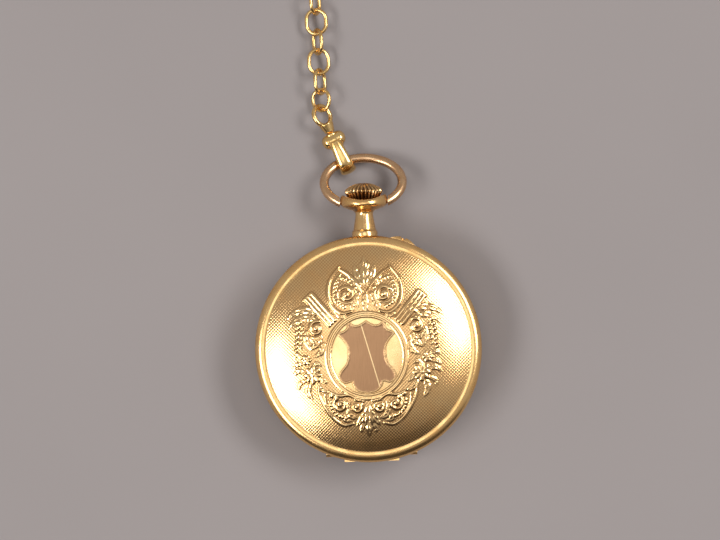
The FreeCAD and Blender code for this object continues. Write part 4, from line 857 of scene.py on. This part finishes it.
# %% Numerals
def numeral(text, size, x, y, z, turn):
    """A number on the dial, made a mesh first and put in its place after."""
    curve = bpy.data.curves.new("numeral_" + text, "FONT")
    curve.body, curve.size, curve.align_x, curve.align_y = text, size * MM, "CENTER", "CENTER"
    curve.extrude = 0.02 * MM
    temp = bpy.data.objects.new("temp", curve)
    scene.collection.objects.link(temp)
    data = made_mesh(temp)
    bpy.data.objects.remove(temp)
    data.transform(Matrix.Translation(Vector((x, y, z)) * MM) @ Matrix.Rotation(turn, 4, "Z"))
    return data


def gathered(name, meshes, material, body):
    """Several meshes as one piece."""
    work = bmesh.new()
    for data in meshes:
        work.from_mesh(data)
    bmesh.ops.remove_doubles(work, verts=work.verts, dist=1e-7)
    bmesh.ops.recalc_face_normals(work, faces=work.faces)
    data = bpy.data.meshes.new(name)
    work.to_mesh(data)
    work.free()
    data.materials.append(material)
    thing = bpy.data.objects.new(name, data)
    scene.collection.objects.link(thing)
    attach(thing, body)


PROUD = 0.005                                      # the ink stands this far above the enamel
HOUR_RING, SECOND_RING = 16.3, 3.0                 # the circles on which the numerals stand
figures = []
for hour in range(1, 13):
    if hour == 6:
        continue                                   # the small seconds dial takes the place of the six
    a = math.pi - hour * math.pi / 6               # noon at -X, hours go clockwise
    x, y = HOUR_RING * math.cos(a), HOUR_RING * math.sin(a)
    figures.append(numeral(str(hour), 4.3, x, y, DIAL + PROUD, math.pi / 2))
for second in (60, 15, 30, 45):
    a = math.pi - second * math.pi / 30
    x, y = SECONDS_X + SECOND_RING * math.cos(a), SECOND_RING * math.sin(a)
    figures.append(numeral(str(second), 1.0, x, y, SECONDS + PROUD, math.pi / 2))
gathered("dial_numerals", figures, dial_ink, "case")
print("numerals:", len(figures))

# %% [markdown]
# ## Everything else
# The movement, the dial plate and the hands keep their CAD shape and get their finish by slot: the record names
# one for every node. The wheels of the train are brass whatever their slot.

# %% Finishes by slot
by_slot = {"case_gold": polished_gold, "bow_gold": rose_brass, "chain_gold": chain_metal, "steel": grey_steel,
           "blued_steel": blue_steel, "gilt": gilt, "enamel": enamel, "glass": crystal_glass, "ruby": ruby_red}
slots = {part["node"]: part["material_slot"] for part in frame["record"]["subparts"]}
BRASS = ("centre_wheel", "third_wheel", "fourth_wheel", "barrel", "barrel_cover", "hour_wheel", "minute_wheel")
for node, thing in nodes.items():
    material = brass_wheels if node in BRASS else by_slot[slots[node]]
    if not thing.data.materials:
        thing.data.materials.append(material)
    for k in range(len(thing.data.materials)):
        thing.data.materials[k] = material
print({s: sum(v == s for v in slots.values()) for s in by_slot})
